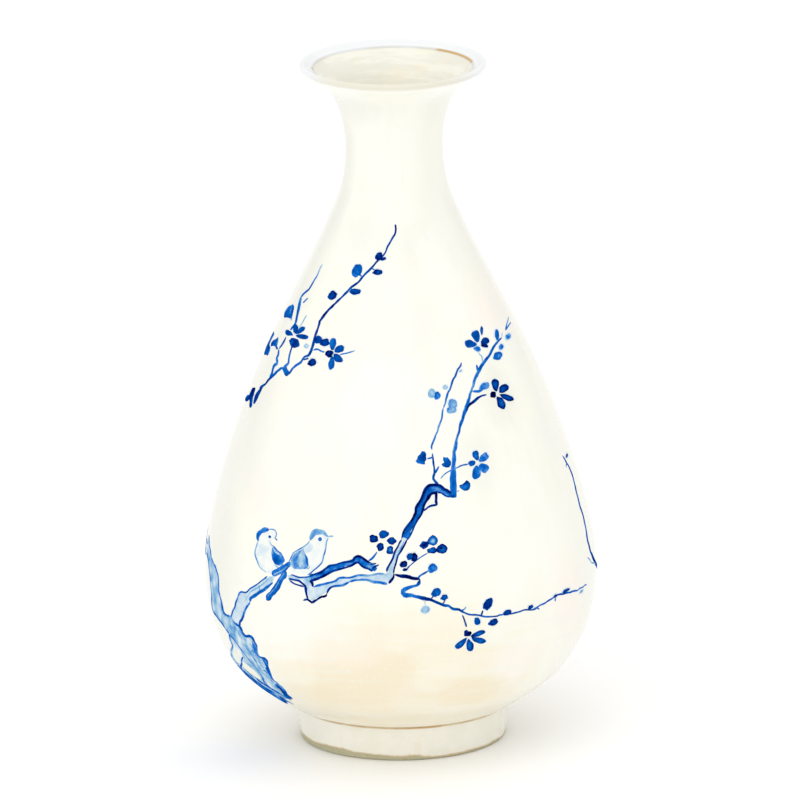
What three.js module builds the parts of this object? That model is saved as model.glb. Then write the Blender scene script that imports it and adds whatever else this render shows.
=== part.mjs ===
// Porcelain sake bottle (tokkuri): turned sections luted together with slip.
// Millimetres, +Z up, origin at the centre of the face that the foot ring rests on.
import * as THREE from 'three';

// ---- Driving dimensions -------------------------------------------------------------------

const FACETS_ROUND = 48;

// Walls, measured square to the surface.
const BODY_WALL = 3.8;
const NECK_WALL = 3.2;
const LIP_WALL = 1.9;
const FLOOR_THICKNESS = 6;

// Foot ring, which leans in slightly towards the bottom.
const FOOT_HEIGHT = 10.5;
const FOOT_TOP_RADIUS = 33;
const FOOT_BOTTOM_RADIUS = 32;
const FOOT_WIDTH = 5;
const FOOT_EDGE = 0.8;

// Slip that lutes one section to the next.
const SLIP_THICKNESS = 0.6;
const SLIP_BEAD = 0.25;

// Heights where a slip layer starts.
const BELLY_JOINT = 56;
const SHOULDER_JOINT = 146;
const MOUTH_JOINT = 196;

// Outside of the bottle from the foot to the underside of the lip, as [radius, height].
const OUTLINE = [
  [33.2, 11.1],
  [39, 14],
  [51.3, 24],
  [59, 38],
  [61.4, 56],
  [58.3, 76],
  [51.8, 98],
  [42.7, 122],
  [31.2, 146],
  [22.4, 164],
  [16.3, 180],
  [15.6, 196],
  [19.6, 208],
  [28, 215.2],
];

// Rounded outer edge of the lip: the centre and radius of its arc, and the angles it runs between.
const LIP_RADIUS = 28.1;
const LIP_HEIGHT = 216.3;
const LIP_ROUND = 1.1;
const LIP_START = -Math.PI / 5;
const LIP_END = Math.PI * 0.6;
const LIP_STEPS = 6;

// The lip's top slopes in from there to its inner rim, which drops steeply to the top of the funnel.
const RIM_RADIUS = 25.2;
const RIM_HEIGHT = 215.9;
const FUNNEL_TOP = 214.6;

// Spacing of the rings of facets up the outside and the inside, closer round the base and mouth.
const OUTER_STEP = 7;
const INNER_STEP = 14;
const BASE_STEP = 3.5;
const MOUTH_STEP = 4;

// The base's sharper curve ends at this height.
const BASE_TOP = 26;

// Enough halvings of the outline to find a height to a millionth of a millimetre.
const HALVINGS = 40;

// ---- Materials ----------------------------------------------------------------------------

const glaze = new THREE.MeshStandardMaterial({ color: 0xf6f4e6, roughness: 0.12, metalness: 0 });
const footGlaze = new THREE.MeshStandardMaterial({ color: 0xefe9d2, roughness: 0.3, metalness: 0 });
const slip = new THREE.MeshStandardMaterial({ color: 0xd8a868, roughness: 0.35, metalness: 0 });

// ---- Outlines -----------------------------------------------------------------------------

const outside = new THREE.SplineCurve(OUTLINE.map(([radius, height]) => new THREE.Vector2(radius, height)));
const inside = offsetInwards(outside);

// Wall thickness at a height: it thins over the shoulder to the neck's, and up the flare to the lip's.
function wallAt(height) {
  const shoulderShare = THREE.MathUtils.smoothstep(height, BELLY_JOINT, SHOULDER_JOINT);
  const flareShare = THREE.MathUtils.smoothstep(height, MOUTH_JOINT, OUTLINE.at(-1)[1]);
  const wall = THREE.MathUtils.lerp(BODY_WALL, NECK_WALL, shoulderShare);
  return THREE.MathUtils.lerp(wall, LIP_WALL, flareShare);
}

// The inside outline runs one wall thickness square to the outside one.
function offsetInwards(curve) {
  const last = curve.points.length - 1;
  const points = curve.points.map((point, index) => {
    const along = curve.getTangent(index / last);
    const inwards = new THREE.Vector2(-along.y, along.x);
    return point.clone().addScaledVector(inwards, wallAt(point.y));
  });
  return new THREE.SplineCurve(points);
}

// Radius of a rising curve at a height, by halving the stretch that holds it.
function radiusAt(curve, height) {
  let low = 0;
  let high = 1;
  for (let halving = 0; halving < HALVINGS; halving += 1) {
    const middle = (low + high) / 2;
    if (curve.getPoint(middle).y < height) {
      low = middle;
    } else {
      high = middle;
    }
  }
  return curve.getPoint(low).x;
}

// Points of a curve at even heights from one height to another, both ends included.
function stretch(curve, from, to, step) {
  const count = Math.max(1, Math.round(Math.abs(to - from) / step));
  const points = [];
  for (let index = 0; index <= count; index += 1) {
    const height = THREE.MathUtils.lerp(from, to, index / count);
    points.push(new THREE.Vector2(radiusAt(curve, height), height));
  }
  return points;
}

// ---- Turned pieces ------------------------------------------------------------------------

// Revolves an outline of (radius, height) points about the bottle's upright axis.
function turned(name, points, material) {
  const geometry = new THREE.LatheGeometry(points, FACETS_ROUND);
  geometry.rotateX(Math.PI / 2);
  const mesh = new THREE.Mesh(geometry, material);
  mesh.name = name;
  return mesh;
}

// Closes an outline that goes round a ring back on its own first point.
function ring(name, points, material) {
  return turned(name, [...points, points[0].clone()], material);
}

function footRing() {
  const inner = FOOT_TOP_RADIUS - FOOT_WIDTH;
  const points = [
    new THREE.Vector2(inner + FOOT_EDGE, 0),
    new THREE.Vector2(FOOT_BOTTOM_RADIUS - FOOT_EDGE, 0),
    new THREE.Vector2(FOOT_BOTTOM_RADIUS, FOOT_EDGE),
    new THREE.Vector2(FOOT_TOP_RADIUS, FOOT_HEIGHT),
    new THREE.Vector2(inner, FOOT_HEIGHT),
    new THREE.Vector2(inner, FOOT_EDGE),
  ];
  return ring('foot_ring', points, footGlaze);
}

// The lower body is a bowl: a flat floor over the foot ring, with the wall rising from it.
function lowerBody() {
  const underside = FOOT_HEIGHT + SLIP_THICKNESS;
  const floor = underside + FLOOR_THICKNESS;
  const points = [
    new THREE.Vector2(0, underside),
    ...stretch(outside, underside, BASE_TOP, BASE_STEP),
    ...stretch(outside, BASE_TOP + OUTER_STEP, BELLY_JOINT, OUTER_STEP),
    ...stretch(inside, BELLY_JOINT, BASE_TOP, INNER_STEP),
    ...stretch(inside, BASE_TOP - BASE_STEP, floor, BASE_STEP),
    new THREE.Vector2(0, floor),
  ];
  return turned('lower_body', points, glaze);
}

// A section of wall between two joint heights.
function wallSection(name, from, to) {
  const points = [
    ...stretch(outside, from, to, OUTER_STEP),
    ...stretch(inside, to, from, INNER_STEP),
  ];
  return ring(name, points, glaze);
}

// The mouth flares from the neck and ends in a lip that slopes in to its inner rim.
function mouth() {
  const bottom = MOUTH_JOINT + SLIP_THICKNESS;
  const outer = stretch(outside, bottom, OUTLINE.at(-1)[1], MOUTH_STEP);
  const lip = [];
  for (let index = 0; index <= LIP_STEPS; index += 1) {
    const angle = THREE.MathUtils.lerp(LIP_START, LIP_END, index / LIP_STEPS);
    const across = LIP_ROUND * Math.cos(angle);
    const up = LIP_ROUND * Math.sin(angle);
    lip.push(new THREE.Vector2(LIP_RADIUS + across, LIP_HEIGHT + up));
  }
  const rim = new THREE.Vector2(RIM_RADIUS, RIM_HEIGHT);
  const funnel = stretch(inside, FUNNEL_TOP, bottom, MOUTH_STEP);
  return ring('mouth', [...outer, ...lip, rim, ...funnel], glaze);
}

// A thin layer of slip between two sections, standing a little proud on the outside.
function slipJoint(name, height, innerRadius, outerRadius) {
  const top = height + SLIP_THICKNESS;
  const points = [
    new THREE.Vector2(innerRadius, height),
    new THREE.Vector2(outerRadius, height),
    new THREE.Vector2(outerRadius + SLIP_BEAD, height + SLIP_THICKNESS / 2),
    new THREE.Vector2(outerRadius, top),
    new THREE.Vector2(innerRadius, top),
  ];
  return ring(name, points, slip);
}

function wallJoint(name, height) {
  return slipJoint(name, height, radiusAt(inside, height), radiusAt(outside, height));
}

// ---- Assembly -----------------------------------------------------------------------------

const bottle = new THREE.Group();
bottle.add(
  footRing(),
  slipJoint('foot_slip_joint', FOOT_HEIGHT, FOOT_TOP_RADIUS - FOOT_WIDTH, FOOT_TOP_RADIUS),
  lowerBody(),
  wallJoint('belly_slip_joint', BELLY_JOINT),
  wallSection('upper_body', BELLY_JOINT + SLIP_THICKNESS, SHOULDER_JOINT),
  wallJoint('shoulder_slip_joint', SHOULDER_JOINT),
  wallSection('neck', SHOULDER_JOINT + SLIP_THICKNESS, MOUTH_JOINT),
  wallJoint('neck_slip_joint', MOUTH_JOINT),
  mouth(),
);

export default bottle;
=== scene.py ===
"""A porcelain sake bottle, painted in underglaze cobalt with blossom branches and two small birds.

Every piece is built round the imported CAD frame, in metres. Shapes are written in millimetres, and
places on the wall as (degrees, height): degrees count round the bottle from the painted front, -Y,
towards +X, and heights are above the table.
"""
import bisect
import math

import bpy
from mathutils import Color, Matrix, Quaternion, Vector, noise
from mathutils.geometry import delaunay_2d_cdt


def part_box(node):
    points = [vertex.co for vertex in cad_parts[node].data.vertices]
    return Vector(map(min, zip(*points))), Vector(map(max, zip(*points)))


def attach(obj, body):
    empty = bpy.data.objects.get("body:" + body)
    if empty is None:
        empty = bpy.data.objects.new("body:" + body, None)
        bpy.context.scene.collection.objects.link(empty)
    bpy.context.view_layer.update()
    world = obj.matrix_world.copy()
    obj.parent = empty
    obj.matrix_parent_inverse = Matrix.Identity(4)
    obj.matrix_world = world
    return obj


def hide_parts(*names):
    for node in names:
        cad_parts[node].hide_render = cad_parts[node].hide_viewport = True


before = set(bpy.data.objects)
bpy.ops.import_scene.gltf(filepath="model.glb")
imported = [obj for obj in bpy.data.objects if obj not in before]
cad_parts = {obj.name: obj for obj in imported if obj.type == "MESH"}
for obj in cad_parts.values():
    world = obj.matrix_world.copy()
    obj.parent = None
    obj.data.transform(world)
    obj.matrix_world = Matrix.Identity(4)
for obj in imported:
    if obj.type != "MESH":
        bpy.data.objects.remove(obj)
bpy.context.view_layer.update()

MM = 0.001
SPAN = {name: [corner.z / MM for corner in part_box(name)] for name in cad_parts}
TOP = SPAN["mouth"][1]

# ---- The bottle's outlines ------------------------------------------------------------------

# The CAD model's own outline, as (radius, height), from the foot ring to the lip's underside.
OUTLINE = [
    (33.2, 11.1), (39, 14), (51.3, 24), (59, 38), (61.4, 56), (58.3, 76), (51.8, 98),
    (42.7, 122), (31.2, 146), (22.4, 164), (16.3, 180), (15.6, 196), (19.6, 208), (28, 215.2),
]
BODY_WALL = 3.8
NECK_WALL = 3.2
LIP_WALL = 1.9

# The lip: its outer edge's arc, and the rim that its top slopes in to, over a short steep drop.
LIP_RADIUS = 28.1
LIP_ROUND = 1.1
RIM = (25.2, 215.9)
FUNNEL_TOP = 214.6

# The foot ring: how far its resting face stands back from each side, and its width.
FOOT_EDGE = 0.8
FOOT_WIDTH = 5.0
FOOT_LEAN = 1.0
FOOT_SWELL = 0.25

# The belly's floor, and the rise of the shallow dome that trimming leaves under it.
FLOOR = 6
DOME = 1.2

# Spacing of the rings of points up a wall, outside, inside and round the mouth.
OUTER_STEP = 1.1
INNER_STEP = 3
MOUTH_STEP = 0.8

# Faces that meet at more degrees than this keep a crisp edge.
SHARP_ANGLE = 42

# What the potter's hands left: a slow wander from the true circle and a spiral of throwing marks.
WANDER = 0.14
WANDER_HEIGHT = 42
MARK_DEPTH = 0.016
MARK_PITCH = 4.6
MARK_LEAST = 0.6
MARK_PATCHES = 2.3

# How many sides stand for a full circle.
AROUND = 240


def spline(points, steps):
    """Catmull-Rom curve through the points, with a number of steps from each one to the next."""
    ends = [points[0], *points, points[-1]]
    curve = []
    for before, start, end, after in zip(ends, ends[1:], ends[2:], ends[3:]):
        for step in range(steps):
            t = step / steps
            curve.append(tuple(
                0.5 * (2 * b + (c - a) * t + (2 * a - 5 * b + 4 * c - d) * t * t
                       + (3 * b - a - 3 * c + d) * t ** 3)
                for a, b, c, d in zip(before, start, end, after)))
    return [*curve, tuple(points[-1])]


def smoothstep(value, low, high):
    share = min(1.0, max(0.0, (value - low) / (high - low)))
    return share * share * (3 - 2 * share)


def inwards(outline):
    """The inside of the wall: each point moved in, square to the outline, by the wall there."""
    joints = ("belly_slip_joint", "shoulder_slip_joint", "neck_slip_joint")
    belly, shoulder, mouth = [SPAN[name][0] for name in joints]
    moved = []
    for index, (radius, height) in enumerate(outline):
        before = outline[max(index - 1, 0)]
        after = outline[min(index + 1, len(outline) - 1)]
        along = Vector((after[0] - before[0], after[1] - before[1])).normalized()
        wall = BODY_WALL + (NECK_WALL - BODY_WALL) * smoothstep(height, belly, shoulder)
        wall += (LIP_WALL - wall) * smoothstep(height, mouth, outline[-1][1])
        moved.append((radius - along.y * wall, height + along.x * wall))
    return moved


OUTSIDE = spline(OUTLINE, 60)
INSIDE = spline(inwards(OUTLINE), 30)


def radius_at(curve, height):
    """Radius of a rising curve at a height, carried straight on past its ends."""
    index = bisect.bisect_left(curve, height, key=lambda point: point[1])
    index = min(max(index, 1), len(curve) - 1)
    (low_radius, low), (high_radius, high) = curve[index - 1], curve[index]
    return low_radius + (high_radius - low_radius) * (height - low) / (high - low)


def hand_marks(degrees, height):
    """How far the wall stands off a true circle, in millimetres."""
    turn = math.radians(degrees)
    place = Vector((math.sin(turn), math.cos(turn), height / WANDER_HEIGHT))
    spiral = math.sin(math.tau * height / MARK_PITCH + turn)
    marks = MARK_DEPTH * spiral * (MARK_LEAST + noise.noise(place * MARK_PATCHES))
    return WANDER * noise.noise(place) + marks


def on_circle(degrees, radius, height):
    turn = math.radians(degrees)
    return Vector((radius * math.sin(turn), -radius * math.cos(turn), height)) * MM


def on_wall(degrees, height):
    """A point of the glazed outside, in metres."""
    radius = radius_at(OUTSIDE, height) + hand_marks(degrees, height)
    return on_circle(degrees, radius, height)


def wall_normal(degrees, height):
    step = 0.35
    across = on_wall(degrees + step, height) - on_wall(degrees - step, height)
    up = on_wall(degrees, height + step) - on_wall(degrees, height - step)
    return across.cross(up).normalized()


# ---- Node graphs ----------------------------------------------------------------------------


class Graph:
    """A node tree, with short calls for the kinds of node that the glaze and paint are made of."""

    def __init__(self, tree):
        self.tree = tree

    def node(self, kind, inputs, output=0, **settings):
        made = self.tree.nodes.new(kind)
        for name, value in settings.items():
            setattr(made, name, value)
        for name, value in inputs.items():
            if isinstance(value, bpy.types.NodeSocket):
                self.tree.links.new(value, made.inputs[name])
            else:
                made.inputs[name].default_value = value
        return made.outputs[output]

    def math(self, operation, first, second=0.0):
        return self.node("ShaderNodeMath", {0: first, 1: second}, operation=operation)

    def vector(self, operation, first, second, output=0):
        inputs = {0: first, 1: second}
        return self.node("ShaderNodeVectorMath", inputs, output, operation=operation)

    def step(self, value, low, high, start=0.0, end=1.0):
        """Goes smoothly from start to end as value goes from low to high."""
        inputs = {"Value": value, "From Min": low, "From Max": high, "To Min": start, "To Max": end}
        return self.node("ShaderNodeMapRange", inputs, interpolation_type="SMOOTHSTEP")

    def noise(self, place, stretch, detail=3.0, rough=0.55):
        """Soft noise about 0.5; stretch is how many features a metre holds along X, Y and Z."""
        scaled = self.vector("MULTIPLY", place, stretch)
        inputs = {"Vector": scaled, "Scale": 1.0, "Detail": detail, "Roughness": rough}
        return self.node("ShaderNodeTexNoise", inputs, noise_dimensions="3D")

    def mix(self, share, first, second):
        inputs = {0: share, 6: first, 7: second}
        return self.node("ShaderNodeMix", inputs, 2, data_type="RGBA")


def tint(red, green, blue):
    """A colour given as 8-bit screen values, as the shader's linear ones."""
    colour = Color((red / 255, green / 255, blue / 255)).from_srgb_to_scene_linear()
    return (*colour, 1.0)


# ---- Glaze ----------------------------------------------------------------------------------

CREAM = tint(249, 248, 235)
MILK = tint(251, 250, 240)
PINK = tint(252, 244, 235)
# Ash and moss are the glaze's greys; on the flanks they also serve as painted shade.
ASH = tint(241, 241, 232)
MOSS = tint(235, 235, 225)
HONEY = tint(247, 238, 214)
SAND = tint(240, 223, 187)
FOOT = tint(248, 245, 231)
FOOT_LIGHT = tint(252, 249, 238)
CLAY = tint(176, 172, 140)
PALE_CLAY = tint(206, 200, 170)
IRON = tint(204, 164, 96)
# Painted sky reflection: the bluish white laid over the back of the lip.
PAINTED_SKY_REFLECTION = tint(240, 242, 243)
BEIGE = tint(235, 233, 220)
PALE_BEIGE = tint(245, 243, 230)
TAN = tint(244, 233, 208)
# Painted shade on the top of the lip's front.
LIP_SHADE = tint(226, 220, 202)
# Painted shade: the bluish grey of the line round the inner rim.
PAINTED_RIM_SHADE = tint(196, 208, 218)
PALE_SLIP = tint(240, 228, 200)
STRONG_SLIP = tint(222, 188, 140)

# The glaze's polish, and its fine uneven skin: features in a metre, strength, and depth in millimetres.
GLAZE_ROUGHNESS = 0.14
BARE_ROUGHNESS = 0.85
GLAZE_GLOSS = 0.34
GLAZE_IOR = 1.5
SKIN_GRAIN = (210, 210, 150)
SKIN_STRENGTH = 0.22
SKIN_DEPTH = 0.12

# Clouds of tint on the glaze, four of them painted shade, as (degrees, height, half width, half height,
# colour, strength).
CLOUDS = [
    (-4, 28, 46, 27, HONEY, 0.85),
    (10, 14, 40, 10, HONEY, 0.5),
    (-2, 50, 34, 13, HONEY, 0.4),
    (-12, 36, 24, 16, SAND, 0.4),
    (22, 27, 20, 6, SAND, 0.4),
    (-34, 24, 16, 5, SAND, 0.3),
    (60, 52, 16, 16, PINK, 0.9),
    (72, 26, 14, 12, MILK, 0.9),
    (38, 36, 10, 8, PINK, 0.6),
    (-28, 46, 26, 9, PINK, 0.5),
    (-35, 52, 14, 8, MILK, 0.8),
    (30, 76, 18, 14, MILK, 0.8),
    (-22, 112, 34, 16, MILK, 0.7),
    (-10, 139, 22, 10, PINK, 0.95),
    (16, 150, 9, 12, PINK, 0.5),
    (-42, 122, 16, 9, PINK, 0.6),
    (-52, 88, 12, 9, PINK, 0.7),
    (66, 142, 18, 11, PINK, 0.9),
    (44, 119, 9, 15, MOSS, 0.6),
    (30, 100, 7, 15, ASH, 0.7),
    (9, 90, 7, 8, ASH, 0.9),
    # Painted shade: these two clouds grey the left flank.
    (-72, 66, 13, 20, MOSS, 0.8),
    (-74, 104, 9, 26, ASH, 0.7),
    (-14, 166, 15, 10, ASH, 0.8),
    # Painted shade: these two clouds grey the neck's right side.
    (40, 172, 10, 24, ASH, 0.4),
    (56, 158, 10, 14, MOSS, 0.25),
    (0, 190, 10, 26, MILK, 0.9),
    (-40, 206, 9, 8, ASH, 0.7),
    (48, 207, 9, 8, ASH, 0.5),
    (118, 34, 40, 20, HONEY, 0.6),
    (172, 26, 44, 22, HONEY, 0.8),
    (-122, 24, 30, 18, HONEY, 0.6),
    (150, 92, 20, 22, PINK, 0.7),
    (-150, 70, 22, 16, MILK, 0.7),
    (-168, 128, 18, 18, ASH, 0.7),
    (120, 128, 14, 24, MOSS, 0.5),
    (-118, 142, 16, 12, PINK, 0.7),
    (178, 172, 12, 24, ASH, 0.6),
]


def glaze_tint_and_shade_group():
    """The glaze's colour at each place: cream, clouded with tints, brushed, darker at the base, and painted
    shade on the left and right flanks.
    """
    group = bpy.data.node_groups.new("glaze_tint_and_shade", "ShaderNodeTree")
    group.interface.new_socket("Color", in_out="OUTPUT", socket_type="NodeSocketColor")
    graph = Graph(group)
    place = graph.node("ShaderNodeTexCoord", {}, "Object")
    height = graph.node("ShaderNodeSeparateXYZ", {"Vector": place}, "Z")
    upright = graph.noise(place, (300, 300, 34), 3.0)
    level = graph.noise(place, (46, 46, 330), 3.0)
    streak = graph.node("ShaderNodeMix", {0: graph.step(height, 90 * MM, 50 * MM), 2: upright, 3: level})
    brush = graph.noise(place, (62, 62, 34), 2.0, 0.5)
    grain = graph.noise(place, (1100, 1100, 900), 2.0)
    ragged = graph.math("ADD", graph.math("MULTIPLY", brush, 1.1), graph.math("MULTIPLY", streak, 0.9))
    colour = graph.mix(graph.step(brush, 0.4, 0.65), CREAM, MILK)
    for degrees, middle, half_width, half_height, cloud, strength in CLOUDS:
        centre = on_circle(degrees, radius_at(OUTSIDE, middle), middle)
        scale = (1 / (half_width * MM), 1 / (half_width * MM), 1 / (half_height * MM))
        offset = graph.vector("MULTIPLY", graph.vector("SUBTRACT", place, centre), scale)
        distance = graph.vector("LENGTH", offset, (0, 0, 0), "Value")
        reach = graph.math("ADD", distance, graph.math("SUBTRACT", ragged, 1.0))
        colour = graph.mix(graph.step(reach, 1.25, 0.3, 0.0, strength), colour, cloud)
    colour = graph.mix(graph.step(streak, 0.5, 0.75, 0.0, 0.3), colour, ASH)
    # Painted shade: towards the left and right flanks, as seen from the front, the glaze turns moss grey.
    level_place = graph.vector("MULTIPLY", place, (1, 1, 0))
    outwards = graph.vector("NORMALIZE", level_place, (0, 0, 0))
    across = graph.node("ShaderNodeSeparateXYZ", {"Vector": outwards}, "X")
    uneven = graph.math("MULTIPLY", graph.math("SUBTRACT", brush, 0.5), 0.3)
    left = graph.step(graph.math("SUBTRACT", uneven, across), 0.74, 1.0, 0.0, 0.9)
    right = graph.step(graph.math("ADD", uneven, across), 0.8, 1.02, 0.0, 0.5)
    colour = graph.mix(graph.math("MAXIMUM", left, right), colour, MOSS)
    colour = graph.mix(graph.step(grain, 0.56, 0.72, 0.0, 0.3), colour, MILK)
    colour = graph.mix(graph.step(height, 40 * MM, 10 * MM, 0.0, 0.2), colour, HONEY)
    out = group.nodes.new("NodeGroupOutput")
    group.links.new(colour, out.inputs[0])
    return group


def glaze_tint_and_shade(graph):
    return graph.node("ShaderNodeGroup", {}, "Color", node_tree=GLAZE_TINT_AND_SHADE)


def surface(name, colour_of, gloss=GLAZE_GLOSS):
    """A glazed surface; colour_of(graph) gives its colour, and its roughness if that varies."""
    material = bpy.data.materials.new(name)
    material.use_nodes = True
    graph = Graph(material.node_tree)
    shader = material.node_tree.nodes["Principled BSDF"]
    found = colour_of(graph)
    colour, rough = found if isinstance(found, tuple) else (found, None)
    graph.tree.links.new(colour, shader.inputs["Base Color"])
    if rough is not None:
        graph.tree.links.new(rough, shader.inputs["Roughness"])
    shader.inputs["Roughness"].default_value = GLAZE_ROUGHNESS
    shader.inputs["IOR"].default_value = GLAZE_IOR
    shader.inputs["Specular IOR Level"].default_value = gloss
    place = graph.node("ShaderNodeTexCoord", {}, "Object")
    skin = graph.noise(place, SKIN_GRAIN, 4.0)
    inputs = {"Height": skin, "Strength": SKIN_STRENGTH, "Distance": SKIN_DEPTH * MM}
    graph.tree.links.new(graph.node("ShaderNodeBump", inputs), shader.inputs["Normal"])
    return material


def mouth_colour(graph):
    """Painted shade over the front of the lip's top and a painted bluish-white sky reflection over the rest
    of it, brushed beige glaze down the funnel, and a painted shade line and iron along the inner rim.
    """
    place = graph.node("ShaderNodeTexCoord", {}, "Object")
    height = graph.node("ShaderNodeSeparateXYZ", {"Vector": place}, "Z")
    flat = graph.vector("MULTIPLY", place, (1, 1, 0))
    radius = graph.vector("LENGTH", flat, (0, 0, 0), "Value")
    brush = graph.noise(place, (50, 50, 420), 4.0, 0.65)
    wash = graph.noise(place, (110, 110, 160), 3.0, 0.6)
    beige = graph.mix(graph.step(brush, 0.4, 0.6), BEIGE, PALE_BEIGE)
    beige = graph.mix(graph.step(wash, 0.5, 0.72, 0.0, 0.45), beige, TAN)
    # Painted shade over the top of the lip, strongest over its top.
    shade = graph.step(height, (TOP - 2.6) * MM, (TOP - 1.2) * MM, 0.0, 0.75)
    lip = graph.mix(shade, glaze_tint_and_shade(graph), LIP_SHADE)
    # Painted sky reflection: the lip's back turns bluish white, leaving the painted shade at the front.
    back = graph.step(graph.node("ShaderNodeSeparateXYZ", {"Vector": place}, "Y"), -25 * MM, -10 * MM)
    lip = graph.mix(back, lip, PAINTED_SKY_REFLECTION)
    colour = graph.mix(graph.step(height, (TOP - 3.6) * MM, (TOP - 2.0) * MM), glaze_tint_and_shade(graph), lip)
    funnel = graph.node("ShaderNodeAttribute", {}, "Fac", attribute_name="funnel")
    colour = graph.mix(graph.step(funnel, 0.2, 0.8), colour, beige)
    here = graph.node("ShaderNodeCombineXYZ", {0: radius, 1: height})
    rim = (RIM[0] * MM, (RIM[1] - 0.4) * MM, 0)
    off_rim = graph.vector("DISTANCE", here, rim, "Value")
    line = graph.step(off_rim, 0.8 * MM, 0.15 * MM)
    worn = graph.step(graph.noise(place, (60, 60, 60), 2.0), 0.4, 0.62, 0.0, 0.2)
    strong = []
    for degrees, far, near in ((123, 12, 9), (-88, 2.0, 0.8)):
        distance = graph.vector("DISTANCE", place, on_circle(degrees, *RIM), "Value")
        strong.append(graph.step(distance, far * MM, near * MM))
    share = graph.math("MAXIMUM", worn, graph.math("MAXIMUM", *strong))
    # Painted shade: a bluish-grey line round the inner rim, where the lip turns down into the funnel; the
    # iron below follows the same line.
    colour = graph.mix(graph.math("MULTIPLY", line, 0.45), colour, PAINTED_RIM_SHADE)
    return graph.mix(graph.math("MULTIPLY", line, share), colour, IRON)


def foot_colour(graph):
    """Greenish cream glaze, stopping at a bare, matt band that is widest at the front left, where its dark
    clay also stands for painted shadow.
    """
    place = graph.node("ShaderNodeTexCoord", {}, "Object")
    height = graph.node("ShaderNodeSeparateXYZ", {"Vector": place}, "Z")
    brush = graph.noise(place, (120, 120, 120), 5.0, 0.65)
    cream = graph.mix(graph.step(brush, 0.4, 0.62), FOOT, FOOT_LIGHT)
    stain = graph.math("MULTIPLY", graph.step(brush, 0.55, 0.72), 0.35)
    cream = graph.mix(stain, cream, SAND)
    # Painted shadow, in part: the bare band is real all round, but widens towards the front left to darken
    # the foot there.
    left = graph.vector("DISTANCE", place, on_circle(-50, 32, 0), "Value")
    edge = graph.math("ADD", graph.step(left, 44 * MM, 4 * MM, 0.9 * MM, 2.3 * MM),
                      graph.math("MULTIPLY", graph.math("SUBTRACT", brush, 0.5), 2.4 * MM))
    above = graph.math("SUBTRACT", height, edge)
    bare_band_and_shadow = graph.step(above, 0.35 * MM, -0.35 * MM)
    clay = graph.mix(graph.noise(place, (900, 900, 900), 4.0), CLAY, PALE_CLAY)
    colour = graph.mix(bare_band_and_shadow, cream, clay)
    halo = graph.step(graph.math("ABSOLUTE", above), 0.6 * MM, 0.1 * MM, 0.0, 0.4)
    colour = graph.mix(halo, colour, IRON)
    return colour, graph.step(bare_band_and_shadow, 0.0, 1.0, GLAZE_ROUGHNESS, BARE_ROUGHNESS)


def hidden_slip_colour(graph):
    """Slip under the glaze: the wall's own colour, a shade warmer."""
    return graph.mix(0.03, glaze_tint_and_shade(graph), HONEY)


def foot_slip_colour(graph):
    """The slip that shows: iron-stained, and broken where the glaze has run over it."""
    place = graph.node("ShaderNodeTexCoord", {}, "Object")
    broken = graph.noise(place, (90, 90, 90), 4.0, 0.6)
    return graph.mix(graph.step(broken, 0.35, 0.62), PALE_SLIP, STRONG_SLIP)


# ---- Turned pieces --------------------------------------------------------------------------


def finish_piece(piece, material, slot, *nodes):
    """Gives a piece its material and body, and hides the CAD nodes that it stands for; slot is not used."""
    piece.data.materials.append(material)
    bpy.context.scene.collection.objects.link(piece)
    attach(piece, "root")
    if nodes:
        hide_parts(*nodes)


def revolve(name, outline):
    """Turns an outline of (radius, height) round the axis: a ring, or a bowl if it ends on the axis."""
    points = []
    rings = []
    for radius, height in outline:
        if radius == 0:
            rings.append([len(points)] * AROUND)
            points.append(Vector((0, 0, height * MM)))
            continue
        rings.append(range(len(points), len(points) + AROUND))
        for index in range(AROUND):
            degrees = index * 360 / AROUND
            points.append(on_circle(degrees, radius + hand_marks(degrees, height), height))
    pairs = list(zip(rings, rings[1:]))
    if outline[0][0] > 0:
        pairs.append((rings[-1], rings[0]))
    faces = []
    for lower, upper in pairs:
        for index in range(AROUND):
            after = (index + 1) % AROUND
            corners = [lower[index], lower[after], upper[after], upper[index]]
            faces.append(list(dict.fromkeys(corners)))
    mesh = bpy.data.meshes.new(name)
    mesh.from_pydata(points, [], faces)
    mesh.polygons.foreach_set("use_smooth", [True] * len(mesh.polygons))
    mesh.set_sharp_from_angle(angle=math.radians(SHARP_ANGLE))
    mesh.update()
    return bpy.data.objects.new(name, mesh)


def climb(curve, low, high, step):
    """Points of a rising curve between two heights, about one step apart along it."""
    points = [(radius_at(curve, low), low)]
    for radius, height in curve:
        if low < height < high and math.dist(points[-1], (radius, height)) > step:
            points.append((radius, height))
    end = (radius_at(curve, high), high)
    if math.dist(points[-1], end) < step / 2 and len(points) > 1:
        points.pop()
    return [*points, end]


def arc(centre, radius, start, end, steps):
    """Points on an arc of an outline, from one angle to another."""
    middle, height = centre
    turns = [math.radians(start + (end - start) * step / steps) for step in range(steps + 1)]
    return [(middle + radius * math.cos(turn), height + radius * math.sin(turn)) for turn in turns]


def make_foot_ring():
    """A ring with rounded edges; its outside leans in towards the table and swells a little."""
    low, high = SPAN["foot_ring"]
    top_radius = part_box("foot_ring")[1].x / MM
    inner = top_radius - FOOT_WIDTH
    side = []
    for step in range(11):
        share = step / 10
        swell = FOOT_SWELL * math.sin(math.pi * share)
        radius = top_radius - FOOT_LEAN * (1 - share) + swell
        side.append((radius, low + FOOT_EDGE + (high - low - FOOT_EDGE) * share))
    outline = [
        *arc((inner + FOOT_EDGE, low + FOOT_EDGE), FOOT_EDGE, 180, 270, 6),
        *arc((side[0][0] - FOOT_EDGE, low + FOOT_EDGE), FOOT_EDGE, 270, 350, 6),
        *side,
        (inner, high),
        (inner, (low + high) / 2),
    ]
    piece = revolve("foot_ring_turned", outline)
    finish_piece(piece, surface("foot_glaze", foot_colour), "foot_porcelain", "foot_ring")


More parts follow.
